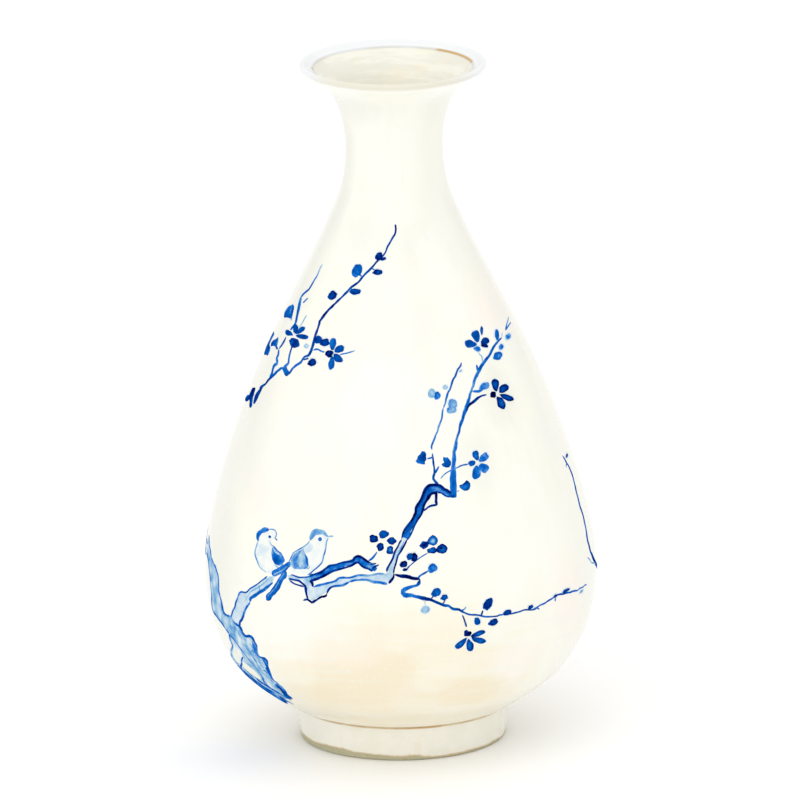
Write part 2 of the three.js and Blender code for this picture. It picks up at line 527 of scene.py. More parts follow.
def make_lower_body(wall):
    """The bowl of the belly, with its floor and the shallow dome that trimming leaves under it."""
    low, high = SPAN["lower_body"]
    floor = low + FLOOR
    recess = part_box("foot_ring")[1].x / MM - FOOT_WIDTH
    dome = [(recess * share, low + DOME * (1 - share ** 2)) for share in (0, 0.3, 0.6, 0.8, 0.95)]
    inside = climb(INSIDE, floor, high, INNER_STEP)
    outline = [
        *dome,
        (recess, low),
        (radius_at(OUTSIDE, low) - 0.3, low),
        *climb(OUTSIDE, low, high, OUTER_STEP),
        *reversed(inside),
        (inside[0][0] * 0.6, floor - 0.2),
        (0, floor - 0.4),
    ]
    finish_piece(revolve("lower_body_thrown", outline), wall, "porcelain_glaze", "lower_body")


def make_wall(name, node, wall):
    """A plain section of wall between two joints."""
    low, high = SPAN[node]
    outside = climb(OUTSIDE, low, high, OUTER_STEP)
    inside = climb(INSIDE, low, high, INNER_STEP)
    outline = [*outside, *reversed(inside)]
    finish_piece(revolve(name, outline), wall, "porcelain_glaze", node)


def make_mouth():
    """The flare, and the lip that slopes in to its inner rim."""
    low, high = SPAN["mouth"]
    lip = arc((LIP_RADIUS, high - LIP_ROUND), LIP_ROUND, -38, 116, 12)
    outer = climb(OUTSIDE, low, OUTLINE[-1][1], MOUTH_STEP)
    crest_radius, crest = lip[-1]
    slope = [(crest_radius + (RIM[0] + 0.4 - crest_radius) * share, crest + (RIM[1] + 0.1 - crest) * share)
             for share in (0.33, 0.66, 1)]
    rim = [RIM, (RIM[0] - 0.35, RIM[1] - 0.4)]
    inner = climb(INSIDE, low, FUNNEL_TOP, MOUTH_STEP)
    outline = [*outer, *lip, *slope, *rim, *reversed(inner)]
    piece = revolve("mouth_thrown", outline)
    funnel = piece.data.attributes.new("funnel", "FLOAT", "POINT")
    first = (len(outline) - len(inner) - 1) * AROUND
    funnel.data.foreach_set("value", [float(index >= first) for index in range(len(funnel.data))])
    finish_piece(piece, surface("mouth_glaze", mouth_colour), "porcelain_glaze", "mouth")


def make_slip_joint(node, material, bead):
    """A thin layer of slip between two sections, standing proud by its bead."""
    low, high = SPAN[node]
    middle = (low + high) / 2
    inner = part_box("foot_ring")[1].x / MM - FOOT_WIDTH
    outer = [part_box("foot_ring")[1].x / MM] * 2
    if node != "foot_slip_joint":
        inner = radius_at(INSIDE, middle)
        outer = [radius_at(OUTSIDE, low), radius_at(OUTSIDE, high)]
    crest = [((outer[0] + outer[1]) / 2 + bead, middle)] if bead else []
    outline = [(inner, low), (outer[0], low), *crest, (outer[1], high), (inner, high)]
    finish_piece(revolve(node + "_luted", outline), material, "luting_slip", node)


def make_bottle():
    wall = surface("wall_glaze", glaze_tint_and_shade)
    slip = surface("slip_under_glaze", hidden_slip_colour)
    make_foot_ring()
    make_slip_joint("foot_slip_joint", surface("iron_slip", foot_slip_colour), 0.3)
    make_lower_body(wall)
    make_slip_joint("belly_slip_joint", slip, 0)
    make_wall("upper_body_thrown", "upper_body", wall)
    make_slip_joint("shoulder_slip_joint", slip, 0)
    make_wall("neck_thrown", "neck", wall)
    make_slip_joint("neck_slip_joint", slip, 0)
    make_mouth()


# ---- Brushwork ------------------------------------------------------------------------------

# The paint lies in very low relief, in millimetres: fills lowest, then strokes, then petals. Its
# edges and its underside are sunk in the wall.
FILL = 0.045
STROKE = 0.085
PETAL = 0.12
SUNK = -0.05
UNDERSIDE = -0.12

# The brush's weight: how much wider than its named width a stroke is laid.
WEIGHT = 1.2

# A stroke's section: its shoulders' places between its middle and its edge, and their share of its lift.
SHOULDER = 0.74
SHOULDER_LIFT = 0.8

# A blob's rings, as shares of its size, the lift of the second, and how full its half sizes are.
BLOB_RINGS = (0.45, 0.84, 1.0)
BLOB_LIFT = 0.85
BLOB_LENGTH = 1.05
BLOB_WIDTH = 1.12
BLOB_SIDES = 16

# Spacing of the points along a stroke and a fill's border, and of those inside the fill.
STROKE_STEP = 0.7
BORDER_STEP = 1.0
LATTICE_STEP = 1.5

# How much the tone drifts along a stroke and in a blob. The sizes of its drifts, and of a width's.
STROKE_DRIFT = 0.16
BLOB_DRIFT = 0.05
STROKE_DRIFT_SIZE = 4.0
BLOB_DRIFT_SIZE = 1.5
FILL_DRIFT_SIZE = 2.6
WIDTH_DRIFT_SIZE = 1.6

# How far the hand shakes to either side of a stroke's line, and the length of its shakes.
SHAKE = 0.5
SHAKE_LENGTH = 3.0

# Degrees round from the front past which the brush keeps its own width.
FAR_SIDE = 98

# Strength of cobalt from bare glaze to navy, as (strength, colour).
COBALT_RAMP = [
    (0.0, tint(238, 243, 245)),
    (0.14, tint(206, 223, 233)),
    (0.3, tint(130, 180, 216)),
    (0.48, tint(20, 112, 206)),
    (0.64, tint(2, 84, 170)),
    (0.8, tint(0, 56, 144)),
    (0.92, tint(0, 24, 112)),
    (1.0, tint(0, 5, 56)),
]


def wall_scale(height):
    """Millimetres along the wall for one degree round it, and for one millimetre of height."""
    slope = radius_at(OUTSIDE, height + 0.5) - radius_at(OUTSIDE, height - 0.5)
    return math.radians(radius_at(OUTSIDE, height)), math.hypot(1, slope)


def beside(place, right, up):
    """The place so many millimetres round to the right of another, and up the wall from it."""
    round_scale, up_scale = wall_scale(place[1])
    return place[0] + right / round_scale, place[1] + up / up_scale


def broad(degrees, most=2.2):
    """How much broader the brush works towards the sides, so that nothing thins out from the front."""
    if abs(degrees) > FAR_SIDE:
        return 1.0
    return min(most, 1 / max(0.01, abs(math.cos(math.radians(degrees)))))


def gap(start, end):
    """Millimetres to the right and up the wall from one place to another."""
    round_scale, up_scale = wall_scale((start[1] + end[1]) / 2)
    return (end[0] - start[0]) * round_scale, (end[1] - start[1]) * up_scale


def spread(values, share):
    """A value part-way along a number or an evenly spaced row of them."""
    if not isinstance(values, tuple):
        return values
    place = share * (len(values) - 1)
    index = min(int(place), len(values) - 2)
    return values[index] + (values[index + 1] - values[index]) * (place - index)


def ragged(place, size):
    """Noise from -1 to 1 over the wall, with features about size millimetres across."""
    right, up = gap((0, place[1]), place)
    return noise.noise(Vector((right / size, place[1] / size, 7.3)))


def shaken(place):
    """A place moved a little by the unsteady hand."""
    right = SHAKE * ragged(place, SHAKE_LENGTH)
    return beside(place, right, SHAKE * ragged((place[0] + 400, place[1]), SHAKE_LENGTH))


def walk(route, step):
    """Places along a smooth route, evenly spaced on the wall, with each one's distance from the start."""
    line = spline(route, 8)
    distances = [0.0]
    for start, end in zip(line, line[1:]):
        distances.append(distances[-1] + math.hypot(*gap(start, end)))
    count = max(6, round(distances[-1] / step))
    found = []
    for number in range(count + 1):
        distance = distances[-1] * number / count
        index = min(max(bisect.bisect_left(distances, distance), 1), len(line) - 1)
        share = (distance - distances[index - 1]) / max(distances[index] - distances[index - 1], 1e-9)
        start, end = line[index - 1], line[index]
        found.append((start[0] + (end[0] - start[0]) * share, start[1] + (end[1] - start[1]) * share))
    return found, distances[-1]


class Paint:
    """One painted piece: thin closed forms lying on the wall, each point with its strength of cobalt."""

    def __init__(self):
        self.points = []
        self.normals = []
        self.cobalt = []
        self.faces = []

    def dab(self, place, lift, tone):
        """Adds one point and gives its number."""
        normal = wall_normal(*place)
        self.points.append(on_wall(*place) + normal * lift * MM)
        self.normals.append(normal)
        self.cobalt.append(tone)
        return len(self.points) - 1

    def stroke(self, route, widths, tones, lift=STROKE, edge=-0.28, wobble=0.32):
        """A brush stroke. Widths and tones are numbers, or rows spread along it; edge is the share
        of its tone that its edges gain or lose."""
        section = [(-1, SUNK), (-SHOULDER, lift * SHOULDER_LIFT), (0, lift),
                   (SHOULDER, lift * SHOULDER_LIFT), (1, SUNK)]
        line, length = walk(route, STROKE_STEP)
        line = [shaken(place) for place in line]
        rings = []
        for index, place in enumerate(line):
            share = index / (len(line) - 1)
            width = spread(widths, share) * (1 + wobble * ragged(place, WIDTH_DRIFT_SIZE)) * WEIGHT
            to_end = min(share, 1 - share) * length / max(width / 2, 0.01)
            width *= 0.35 if index in (0, len(line) - 1) else math.sqrt(min(1, 0.5 + to_end / 2))
            tone = spread(tones, share) + STROKE_DRIFT * ragged(place, STROKE_DRIFT_SIZE)
            right, up = gap(line[max(index - 1, 0)], line[min(index + 1, len(line) - 1)])
            size = math.hypot(right, up) or 1
            side = (up / size * width / 2, -right / size * width / 2)
            ring = []
            for across, height in section:
                shade = tone * (1 + edge * abs(across))
                right = side[0] * across * broad(place[0], 1.4)
                ring.append(self.dab(beside(place, right, side[1] * across), height, shade))
            rings.append(ring)
        for lower, upper in zip(rings, rings[1:]):
            for index in range(len(section)):
                after = (index + 1) % len(section)
                self.faces.append([lower[index], lower[after], upper[after], upper[index]])
        self.faces.append(rings[0][::-1])
        self.faces.append(rings[-1])

    def blob(self, place, size, turn=0.0, tone=0.85, core=None, tip=0.0, lift=PETAL, wobble=0.12):
        """A petal, bud or dot: an egg of half sizes size, turned anticlockwise, narrower at its top by
        tip, and of tone core at the middle."""
        core = tone if core is None else core
        cos, sin = math.cos(math.radians(turn)), math.sin(math.radians(turn))
        middle = self.dab(place, lift, core)
        rings = []
        for share, height in zip(BLOB_RINGS, (lift, lift * BLOB_LIFT, SUNK)):
            ring = []
            for index in range(BLOB_SIDES):
                angle = math.tau * index / BLOB_SIDES
                way = Vector((1.5 * math.cos(angle), 1.5 * math.sin(angle), sum(place) * 3.7))
                swell = 1 + wobble * noise.noise(way)
                along = size[1] * math.sin(angle) * swell * share * BLOB_LENGTH
                across = size[0] * math.cos(angle) * swell * share * BLOB_WIDTH
                across *= 1 - tip * (1 + math.sin(angle)) / 2
                right = (across * cos - along * sin) * broad(place[0])
                spot = beside(place, right, across * sin + along * cos)
                shade = core + (tone - core) * share + BLOB_DRIFT * ragged(spot, BLOB_DRIFT_SIZE)
                ring.append(self.dab(spot, height, shade))
            rings.append(ring)
        under = self.dab(place, UNDERSIDE, tone)
        for index in range(BLOB_SIDES):
            after = (index + 1) % BLOB_SIDES
            self.faces.append([middle, rings[0][index], rings[0][after]])
            for inner, outer in zip(rings, rings[1:]):
                self.faces.append([inner[index], outer[index], outer[after], inner[after]])
            self.faces.append([under, rings[-1][after], rings[-1][index]])

    def fill(self, outline, tone, edge=None, lift=FILL, wobble=0.3, grain=0.1):
        """A wash inside a closed outline of places, of tone edge along the outline."""
        edge = tone if edge is None else edge
        origin = outline[0]
        line = walk([*outline, outline[0]], BORDER_STEP)[0]
        border = [Vector(gap(origin, place)) for place in line[:-1]]
        border = [spot + Vector((1, 1)) * wobble * noise.noise(Vector((*spot, 2.1))) for spot in border]
        inset = []
        for before, spot, after in zip([border[-1], *border], border, [*border[1:], border[0]]):
            along = (after - before).normalized()
            inset += [spot + Vector((-along.y, along.x)) * reach for reach in (0.35, -0.35)]
        low = Vector((min(s.x for s in border), min(s.y for s in border)))
        high = Vector((max(s.x for s in border), max(s.y for s in border)))
        columns, rows = [math.ceil((high[axis] - low[axis]) / LATTICE_STEP) for axis in (0, 1)]
        lattice = [low + Vector((column * LATTICE_STEP + row % 2 * 0.7, row * LATTICE_STEP))
                   for column in range(columns) for row in range(rows)]
        inside = [spot for spot in (*inset, *lattice) if within(spot, border)]
        count = len(border)
        spots, _, triangles, *_ = delaunay_2d_cdt([*border, *inside], [], [list(range(count))], 1, 1e-5)
        top, under = [], []
        for index, spot in enumerate(spots):
            place = self.unfold(origin, spot)
            near = min((spot - other).length for other in border)
            mixed = edge + (tone - edge) * min(1, near / 0.9) + grain * ragged(place, FILL_DRIFT_SIZE)
            top.append(self.dab(place, SUNK if index < count else lift, mixed))
            under.append(top[-1] if index < count else self.dab(place, UNDERSIDE, mixed))
        for corners in triangles:
            self.faces.append([top[corner] for corner in corners])
            self.faces.append([under[corner] for corner in reversed(corners)])

    @staticmethod
    def unfold(origin, spot):
        """The place that gap() measures as spot from the origin."""
        place = origin
        for _ in range(4):
            right, up = gap(origin, place)
            round_scale, up_scale = wall_scale((origin[1] + place[1]) / 2)
            place = (place[0] + (spot.x - right) / round_scale, place[1] + (spot.y - up) / up_scale)
        return place

    def make(self, name, material):
        mesh = bpy.data.meshes.new(name)
        mesh.from_pydata(self.points, [], self.faces)
        mesh.polygons.foreach_set("use_smooth", [True] * len(mesh.polygons))
        tones = mesh.attributes.new("cobalt", "FLOAT", "POINT")
        tones.data.foreach_set("value", self.cobalt)
        mesh.normals_split_custom_set_from_vertices(self.normals)
        mesh.update()
        finish_piece(bpy.data.objects.new(name, mesh), material, "cobalt_blue")


def within(spot, border):
    """Whether a spot is inside a closed border, by counting the edges to its right."""
    crossed = False
    for start, end in zip(border, [*border[1:], border[0]]):
        if (start.y > spot.y) != (end.y > spot.y):
            share = (spot.y - start.y) / (end.y - start.y)
            crossed ^= spot.x < start.x + (end.x - start.x) * share
    return crossed


def cobalt_colour(graph):
    """Underglaze cobalt: the glaze's own colour where there is none, through pale wash to navy."""
    place = graph.node("ShaderNodeTexCoord", {}, "Object")
    strength = graph.node("ShaderNodeAttribute", {}, "Fac", attribute_name="cobalt")
    pool = graph.noise(place, (520, 520, 520), 3.0, 0.6)
    speck = graph.noise(place, (1900, 1900, 1900), 2.0, 0.6)
    uneven = graph.math("ADD", graph.math("MULTIPLY", pool, 0.6), graph.math("MULTIPLY", speck, 0.2))
    offset = graph.math("SUBTRACT", uneven, 0.4)
    uneven = graph.math("MULTIPLY", offset, graph.step(strength, 0.05, 0.5, 0.15, 1.0))
    strength = graph.math("ADD", strength, uneven)
    ramp = graph.tree.nodes.new("ShaderNodeValToRGB")
    elements = ramp.color_ramp.elements
    for number, (position, colour) in enumerate(COBALT_RAMP):
        element = elements.new(position) if number > 1 else elements[number]
        element.position = position
        element.color = colour
    graph.tree.links.new(strength, ramp.inputs[0])
    return graph.mix(graph.step(strength, 0.0, 0.1), glaze_tint_and_shade(graph), ramp.outputs[0])


# ---- The painting ---------------------------------------------------------------------------

# Twigs are (widths, tones, route). Buds are (place, half sizes, turn, tone, core tone).
# Patches are (tone, edge tone, outline): shapes too uneven to be buds or petals.
# Blossoms are (heart, petals, dots): a petal is (tip, half width, tone, core tone), a dot is like a bud.

TWIGS = {
    "painted_upper_left_twigs": [
        ((0.5, 0.55, 0.65, 0.75, 0.65), (0.9, 0.85, 0.78, 0.85), [(0.5, 170.5), (0, 168.5), (-4, 165.2),
                                                                  (-9, 161.5), (-18, 157.5), (-24, 154),
                                                                  (-28, 152), (-37, 147)]),
        ((0.7, 0.8, 0.65, 0.7, 0.75), (0.88, 0.9, 0.85, 0.85), [(-35.5, 147.8), (-41, 144.5),
                                                                (-44.8, 141), (-44.7, 139.9),
                                                                (-45.1, 138), (-45.3, 136), (-45, 132.8),
                                                                (-44.6, 131.3)]),
        ((0.75, 0.7, 0.8), (0.9, 0.66, 0.62, 0.66), [(-44.7, 132.4), (-45.3, 130.5), (-47.6, 129.7),
                                                     (-49.5, 127.9), (-51.6, 126.7), (-53.2, 125),
                                                     (-54.5, 123.6)]),
        ((0.9, 0.8, 1.0, 0.9, 1.1), (0.62, 0.62, 0.85, 0.8),
         [(-56, 123.6), (-60, 124.8), (-64.8, 121.9), (-67.2, 120), (-70, 117.8), (-73, 116)]),
        ((0.9, 0.7, 0.6), (0.6, 0.6, 0.72),
         [(-59.3, 124.9), (-56.8, 126.5), (-57.5, 128), (-58.6, 130.5), (-59, 132.2)]),
        ((1.1, 1.0, 1.2, 0.9, 0.7), (0.6, 0.62, 0.58, 0.7), [(-67, 120.2), (-66.9, 122), (-67.5, 124),
                                                             (-65.3, 125), (-67.7, 126.5), (-68, 127.7),
                                                             (-69.5, 129)]),
        ((0.6, 0.8, 0.6), (0.75, 0.66, 0.7), [(-69.5, 129.1), (-67.5, 130.9), (-67.5, 133)]),
        ((0.8, 1.1, 1.3), (0.58, 0.62, 0.6), [(-66, 135.5), (-64, 138), (-66.5, 141.5), (-69.5, 145)]),
        ((0.9, 0.6, 0.4), (0.66, 0.6, 0.35), [(-69.5, 145), (-66.5, 146.9), (-63, 149.4), (-60.5, 156)]),
        (0.5, 0.5, [(-64.5, 144), (-61.5, 145.5)]),
        (0.4, 0.28, [(-58.5, 137.3), (-57.3, 139), (-57, 141.2)]),
        (0.55, 0.6, [(-43.8, 132.1), (-41.4, 132.6), (-36.8, 132.3)]),
        ((0.5, 0.4), (0.6, 0.5), [(-28, 132.3), (-24, 133), (-20.5, 133.6)]),
        (0.55, 0.75, [(-48, 128.9), (-45, 129.6)]),
        (0.45, 0.6, [(-20, 157), (-17, 157.5), (-13, 156.5)]),
        (0.45, 0.7, [(-30, 151), (-27, 150.5)]),
        (0.5, 0.7, [(-23.5, 155), (-26, 155.3)]),
        (0.45, 0.7, [(-12, 160), (-11, 161)]),
    ],
    "painted_right_stem": [
        ((2.2, 1.8, 1.35, 1.0, 0.9), (0.56, 0.6, 0.62, 0.6),
         [(18.1, 91.4), (18.2, 94.8), (18.6, 97.3), (19.3, 100.7), (20.3, 104.1), (21.7, 107.4)]),
        ((0.8, 0.7, 1.0), (0.6, 0.62), [(21.1, 106.2), (23.5, 110.8), (26.6, 114.4)]),
        ((1.0, 1.2, 0.7, 0.7, 1.0), (0.58, 0.62, 0.5, 0.62), [(25.5, 113.2), (28.9, 117.3), (30.8, 119.6),
                                                              (32.4, 121), (34, 122.9), (36, 124.7),
                                                              (37.8, 126.1)]),
        ((1.0, 0.9, 0.8, 0.7, 0.5), (0.68, 0.62, 0.58, 0.6),
         [(36.5, 125.2), (41.6, 127.8), (45.9, 129.5), (50.4, 131.1), (55.9, 132.5), (60.4, 132.8)]),
        (0.4, 0.2, [(60.6, 133), (62.5, 134.2)]),
        (0.4, (0.55, 0.4), [(66.2, 134.2), (70, 135.5), (77, 136.6)]),
        (0.45, (0.62, 0.5), [(66.2, 134.2), (71, 134.6), (76, 134.9)]),
        ((0.5, 0.7), 0.6, [(37.9, 127.7), (37.4, 126)]),
        (0.45, (0.24, 0.36), [(41, 131), (42, 129.6), (41.5, 128.2)]),
        ((1.1, 0.9, 0.7, 0.5), (1.0, 1.0, 1.0, 0.75),
         [(27.6, 115.2), (28, 116.2), (29.7, 116.9), (32.2, 117.6), (35.6, 118.6), (38.9, 118.9)]),
        (0.8, 0.56, [(32.7, 120.5), (35.6, 120.4), (38, 120.9)]),
        ((0.4, 0.5), (0.42, 0.54, 0.56), [(14.1, 96.7), (15.5, 97.6), (17.6, 98.5), (19.9, 99.1),
                                          (22.2, 99.7), (25, 100)]),
        (0.4, 0.36, [(19.4, 92.7), (20.3, 92.6)]),
    ],
    "painted_right_twig": [
        ((0.5, 0.6, 0.55), (0.58, 0.62, 0.42), [(30, 129.5), (28, 127.5), (24, 124), (21, 121), (18, 117)]),
        ((0.55, 0.6, 0.6), (0.42, 0.55, 0.62), [(18, 117), (15.5, 111.5), (13.5, 108.5), (11.9, 106.4),
                                                (12, 105.2)]),
        ((0.45, 0.6, 0.6, 0.7, 1.0), (0.45, 0.85, 0.72, 0.68, 0.8),
         [(12.1, 104.3), (11.9, 101.3), (12, 99.5), (12.2, 98.3), (11.9, 96.9), (12.5, 96), (13.1, 95)]),
        ((0.7, 0.5), (0.66, 0.5), [(12.2, 98.5), (13, 99.3), (13.8, 100.2)]),
        (0.45, 0.5, [(9.8, 103), (11.8, 103.2)]),
    ],
    "painted_lower_twig": [
        ((0.9, 1.1, 1.0, 0.8), 1.0, [(-1.9, 68.3), (0, 68), (1.5, 67.6), (3, 67.5), (5.6, 66.7)]),
        ((1.1, 0.9, 1.2, 1.5, 1.2, 1.1, 0.9, 0.7), (0.85, 0.58, 0.52, 0.62, 0.66, 0.85, 0.9, 0.8),
         [(5.6, 66.6), (4.8, 65.4), (2.8, 64.6), (1, 63.5), (0.7, 62.7), (1.6, 62.1), (3.3, 62),
          (5.1, 61.6), (6.6, 60.7), (9.4, 60), (11.6, 58.8)]),
        ((0.7, 0.8, 0.8, 0.6), (0.8, 0.7, 0.95),
         [(10.6, 59.3), (13.1, 58.2), (15, 57.4), (16.7, 56.7), (17.7, 55.9), (18.7, 55.3)]),
        ((0.55, 0.5, 0.5), (0.8, 0.68, 0.72, 0.68),
         [(17.8, 55.8), (20.5, 54.6), (22.5, 53.9), (25.7, 53.1), (29, 52.6), (31.1, 53), (43, 52.5)]),
        ((0.6, 0.6, 0.4), (0.7, 0.66, 0.4), [(41.5, 52.5), (52.5, 54.5), (61.5, 53.5), (71, 53)]),
        ((0.6, 0.4), (0.7, 0.25), [(17.7, 56), (18.7, 56.4), (19.2, 57.2)]),
        (0.5, (0.9, 0.7), [(17.9, 54.8), (18.9, 52.1), (19.3, 50.5)]),
        (0.5, 0.9, [(23.8, 53.6), (24.2, 55.2)]),
        (0.4, 0.7, [(43, 52.7), (44.5, 51.8)]),
        (0.4, 0.6, [(51.5, 53.8), (51.5, 52.8)]),
        (0.4, 0.85, [(9, 60.3), (10, 62)]),
        (0.4, 0.85, [(12, 59), (12.7, 60)]),
        (0.4, 0.2, [(6.6, 60.3), (6.9, 58.3)]),
        ((0.8, 0.5, 0.6, 0.4), (0.62, 0.7, 0.56), [(4.9, 67), (5.5, 68.1), (6.9, 68.9), (8.4, 69.6)]),
        ((0.4, 0.35), (0.75, 0.6), [(1.3, 69.6), (3, 71.2), (6, 73.2), (8.5, 74.6)]),
        ((0.8, 0.6, 0.4), (0.66, 0.7, 0.5), [(-9.5, 72.5), (-8.6, 73.2), (-7, 75.4)]),
    ],
    "painted_edge_twig": [
        ((0.6, 0.9, 0.8, 1.0, 1.5, 1.1), (0.8, 0.66, 0.85, 0.75),
         [(73, 93.5), (76.5, 87.5), (75.5, 80), (76, 71), (76, 63), (83, 56), (94, 51)]),
        (0.4, 0.6, [(73, 90), (75, 91)]),
        (0.4, 0.3, [(72.5, 61.5), (76, 59), (81.5, 56.5)]),
    ],
}

BUDS = {
    "painted_upper_left_buds": [
        ((-12.5, 161), (1.0, 1.3), 0, 0.95, 0.85),
        ((-9, 160.3), (0.75, 0.5), 20, 0.95, 0.9),
        ((-27.5, 156.7), (1.3, 2.0), 5, 0.7, 0.62),
        ((-12.5, 156.5), (1.35, 0.85), 0, 0.95, 0.85),
        ((-41.5, 148.5), (1.1, 1.4), 0, 0.9, 0.85),
        ((-26, 150.5), (1.5, 1.0), 0, 0.85, 0.75),
        ((-42, 128.9), (1.15, 1.25), 0, 0.95, 0.85),
        ((-42.4, 135.4), (1.1, 1.15), 0, 0.8, 0.9),
        ((-37.8, 135.1), (1.2, 1.15), 0, 0.88, 0.78),
        ((-48.6, 132.9), (0.6, 0.6), 0, 0.34, 0.1),
    ],
    "painted_right_buds": [
        ((52.2, 128.7), (1.25, 1.15), 0, 0.62, 0.5),
        ((56.6, 130.7), (0.65, 0.85), -35, 0.45, 0.6),
        ((57.4, 134.4), (0.6, 1.7), -18, 0.5, 0.7),
        ((66, 132.4), (0.9, 0.9), 0, 0.34, 0.55),
        ((14.3, 121.7), (1.0, 1.4), 0, 0.32, 0.2),
        ((16.4, 120.9), (0.85, 1.2), 0, 0.6, 0.55),
        ((20.5, 123), (0.7, 0.65), 0, 0.32, 0.25),
        ((22.5, 118), (1.3, 1.5), 0, 0.42, 0.3),
        ((21.8, 116.4), (1.3, 1.1), 0, 0.45, 0.35),
        ((29, 127), (0.5, 0.25), 20, 0.3, 0.25),
        ((39.2, 121.5), (1.5, 1.0), 8, 0.5, 0.56),
    ],
    "painted_lower_buds": [
        ((9.6, 70.1), (1.3, 1.25), 0, 0.58, 0.52),
        ((10.4, 62.6), (1.4, 1.25), 30, 0.72, 0.64),
        ((12.8, 60.9), (1.0, 0.85), 0, 0.8, 0.72),
        ((7, 57.3), (1.2, 1.1), 0, 0.28, 0.22),
        ((1, 71.7), (1.1, 1.0), 0, 1.0, 0.95),
        ((1.3, 70), (0.7, 0.45), 0, 0.95, 0.95),
        ((3, 74), (1.0, 1.0), 0, 0.75, 0.7),
        ((4.2, 73.8), (0.85, 1.4), 0, 1.0, 0.95),
        ((26.1, 57.2), (1.2, 1.9), -38, 0.85, 0.92),
        ((22.6, 52.2), (0.8, 1.25), 25, 0.72, 0.66),
        ((28, 51), (1.35, 1.05), 0, 0.95, 0.9),
        ((32.5, 53.4), (1.15, 0.9), 0, 0.9, 0.8),
        ((41, 53.5), (0.7, 0.65), 0, 0.85, 0.8),
        ((51.5, 54.6), (0.5, 0.5), 0, 0.85, 0.8),
        ((57, 55), (1.0, 0.55), 0, 0.85, 0.75),
        ((66.5, 52), (0.5, 0.4), 0, 0.35, 0.3),
        ((77.5, 92.5), (0.6, 0.5), 0, 0.85, 0.8),
    ],
}

PATCHES = {
    "painted_ragged_buds": [
        (0.8, 0.6, [(5.7, 102.2), (6.3, 102.6), (6.4, 103.5), (7.4, 104.1), (8.1, 105.1), (9.1, 105.1),
                    (9.9, 104.5), (9.9, 102.6), (9.1, 102), (9.6, 101.3), (8.4, 100.9), (7.7, 101.5),
                    (7.3, 101.2), (6.1, 101.8)]),
        (0.6, 0.54, [(14.8, 100.8), (16, 101.4), (15.5, 102.6), (16.3, 103.1), (16.9, 102.6), (17.4, 102.9),
                     (18, 102.2), (18.7, 101.7), (18.5, 100.3), (17.8, 99.6), (16.5, 99.6), (15.4, 100.2)]),
        (0.56, 0.76, [(20.4, 94.2), (22, 94.5), (23.2, 95.4), (24.2, 95.2), (24.6, 93.8), (24, 92.5),
                      (22.7, 92.1), (21.3, 92.6), (20.3, 93.5)]),
        (0.6, 0.62, [(-59.5, 124.8), (-57, 125.6), (-55.5, 124.8), (-54, 124.6), (-54, 123.3), (-56, 122.9),
                     (-58, 123.7)]),
        (0.55, 0.6, [(-84.5, 138), (-83, 140), (-79, 141.2), (-76, 141.9), (-73, 141.6), (-71, 140.4),
                     (-70, 139), (-68.5, 137.6), (-72, 138), (-76.5, 137.5), (-81, 136.9)]),
    ],
    "painted_low_left_blossom": [
        (0.8, 0.7, [(-87.5, 109.2), (-83.5, 109.7), (-80, 111.3), (-80.8, 112.3), (-86, 111.6),
                    (-89, 110)]),
        (0.85, 0.72, [(-82.3, 114.6), (-77.9, 115.5), (-76.8, 114.2), (-76.5, 113.2), (-75.7, 112.1),
                      (-74, 110.8), (-75, 109.6), (-77.5, 109.7), (-79, 110.7), (-83, 112.1),
                      (-83, 113.2)]),
        (0.72, 0.64, [(-72.5, 116.5), (-70, 117), (-70.5, 115.5), (-71, 113.5), (-72, 111.6), (-74, 111.2),
                      (-75, 112.5), (-75, 114.5)]),
    ],
    "painted_edge_blossom": [
        (0.66, 0.6, [(-89, 131.3), (-84.2, 131.2), (-84.5, 129.9), (-84.4, 128), (-79.2, 127.6),
                     (-78.6, 125.3), (-82, 124.9), (-87, 124.2), (-89.6, 127), (-89.6, 129.5)]),
        (0.64, 0.58, [(-81, 130), (-77.7, 130.8), (-75.7, 131.9), (-73.5, 130.8), (-72.7, 129.7),
                      (-70, 129.2), (-71, 128.4), (-75.1, 128.8), (-78.5, 128.3), (-80, 127.9),
                      (-82.5, 128.5)]),
    ],
}

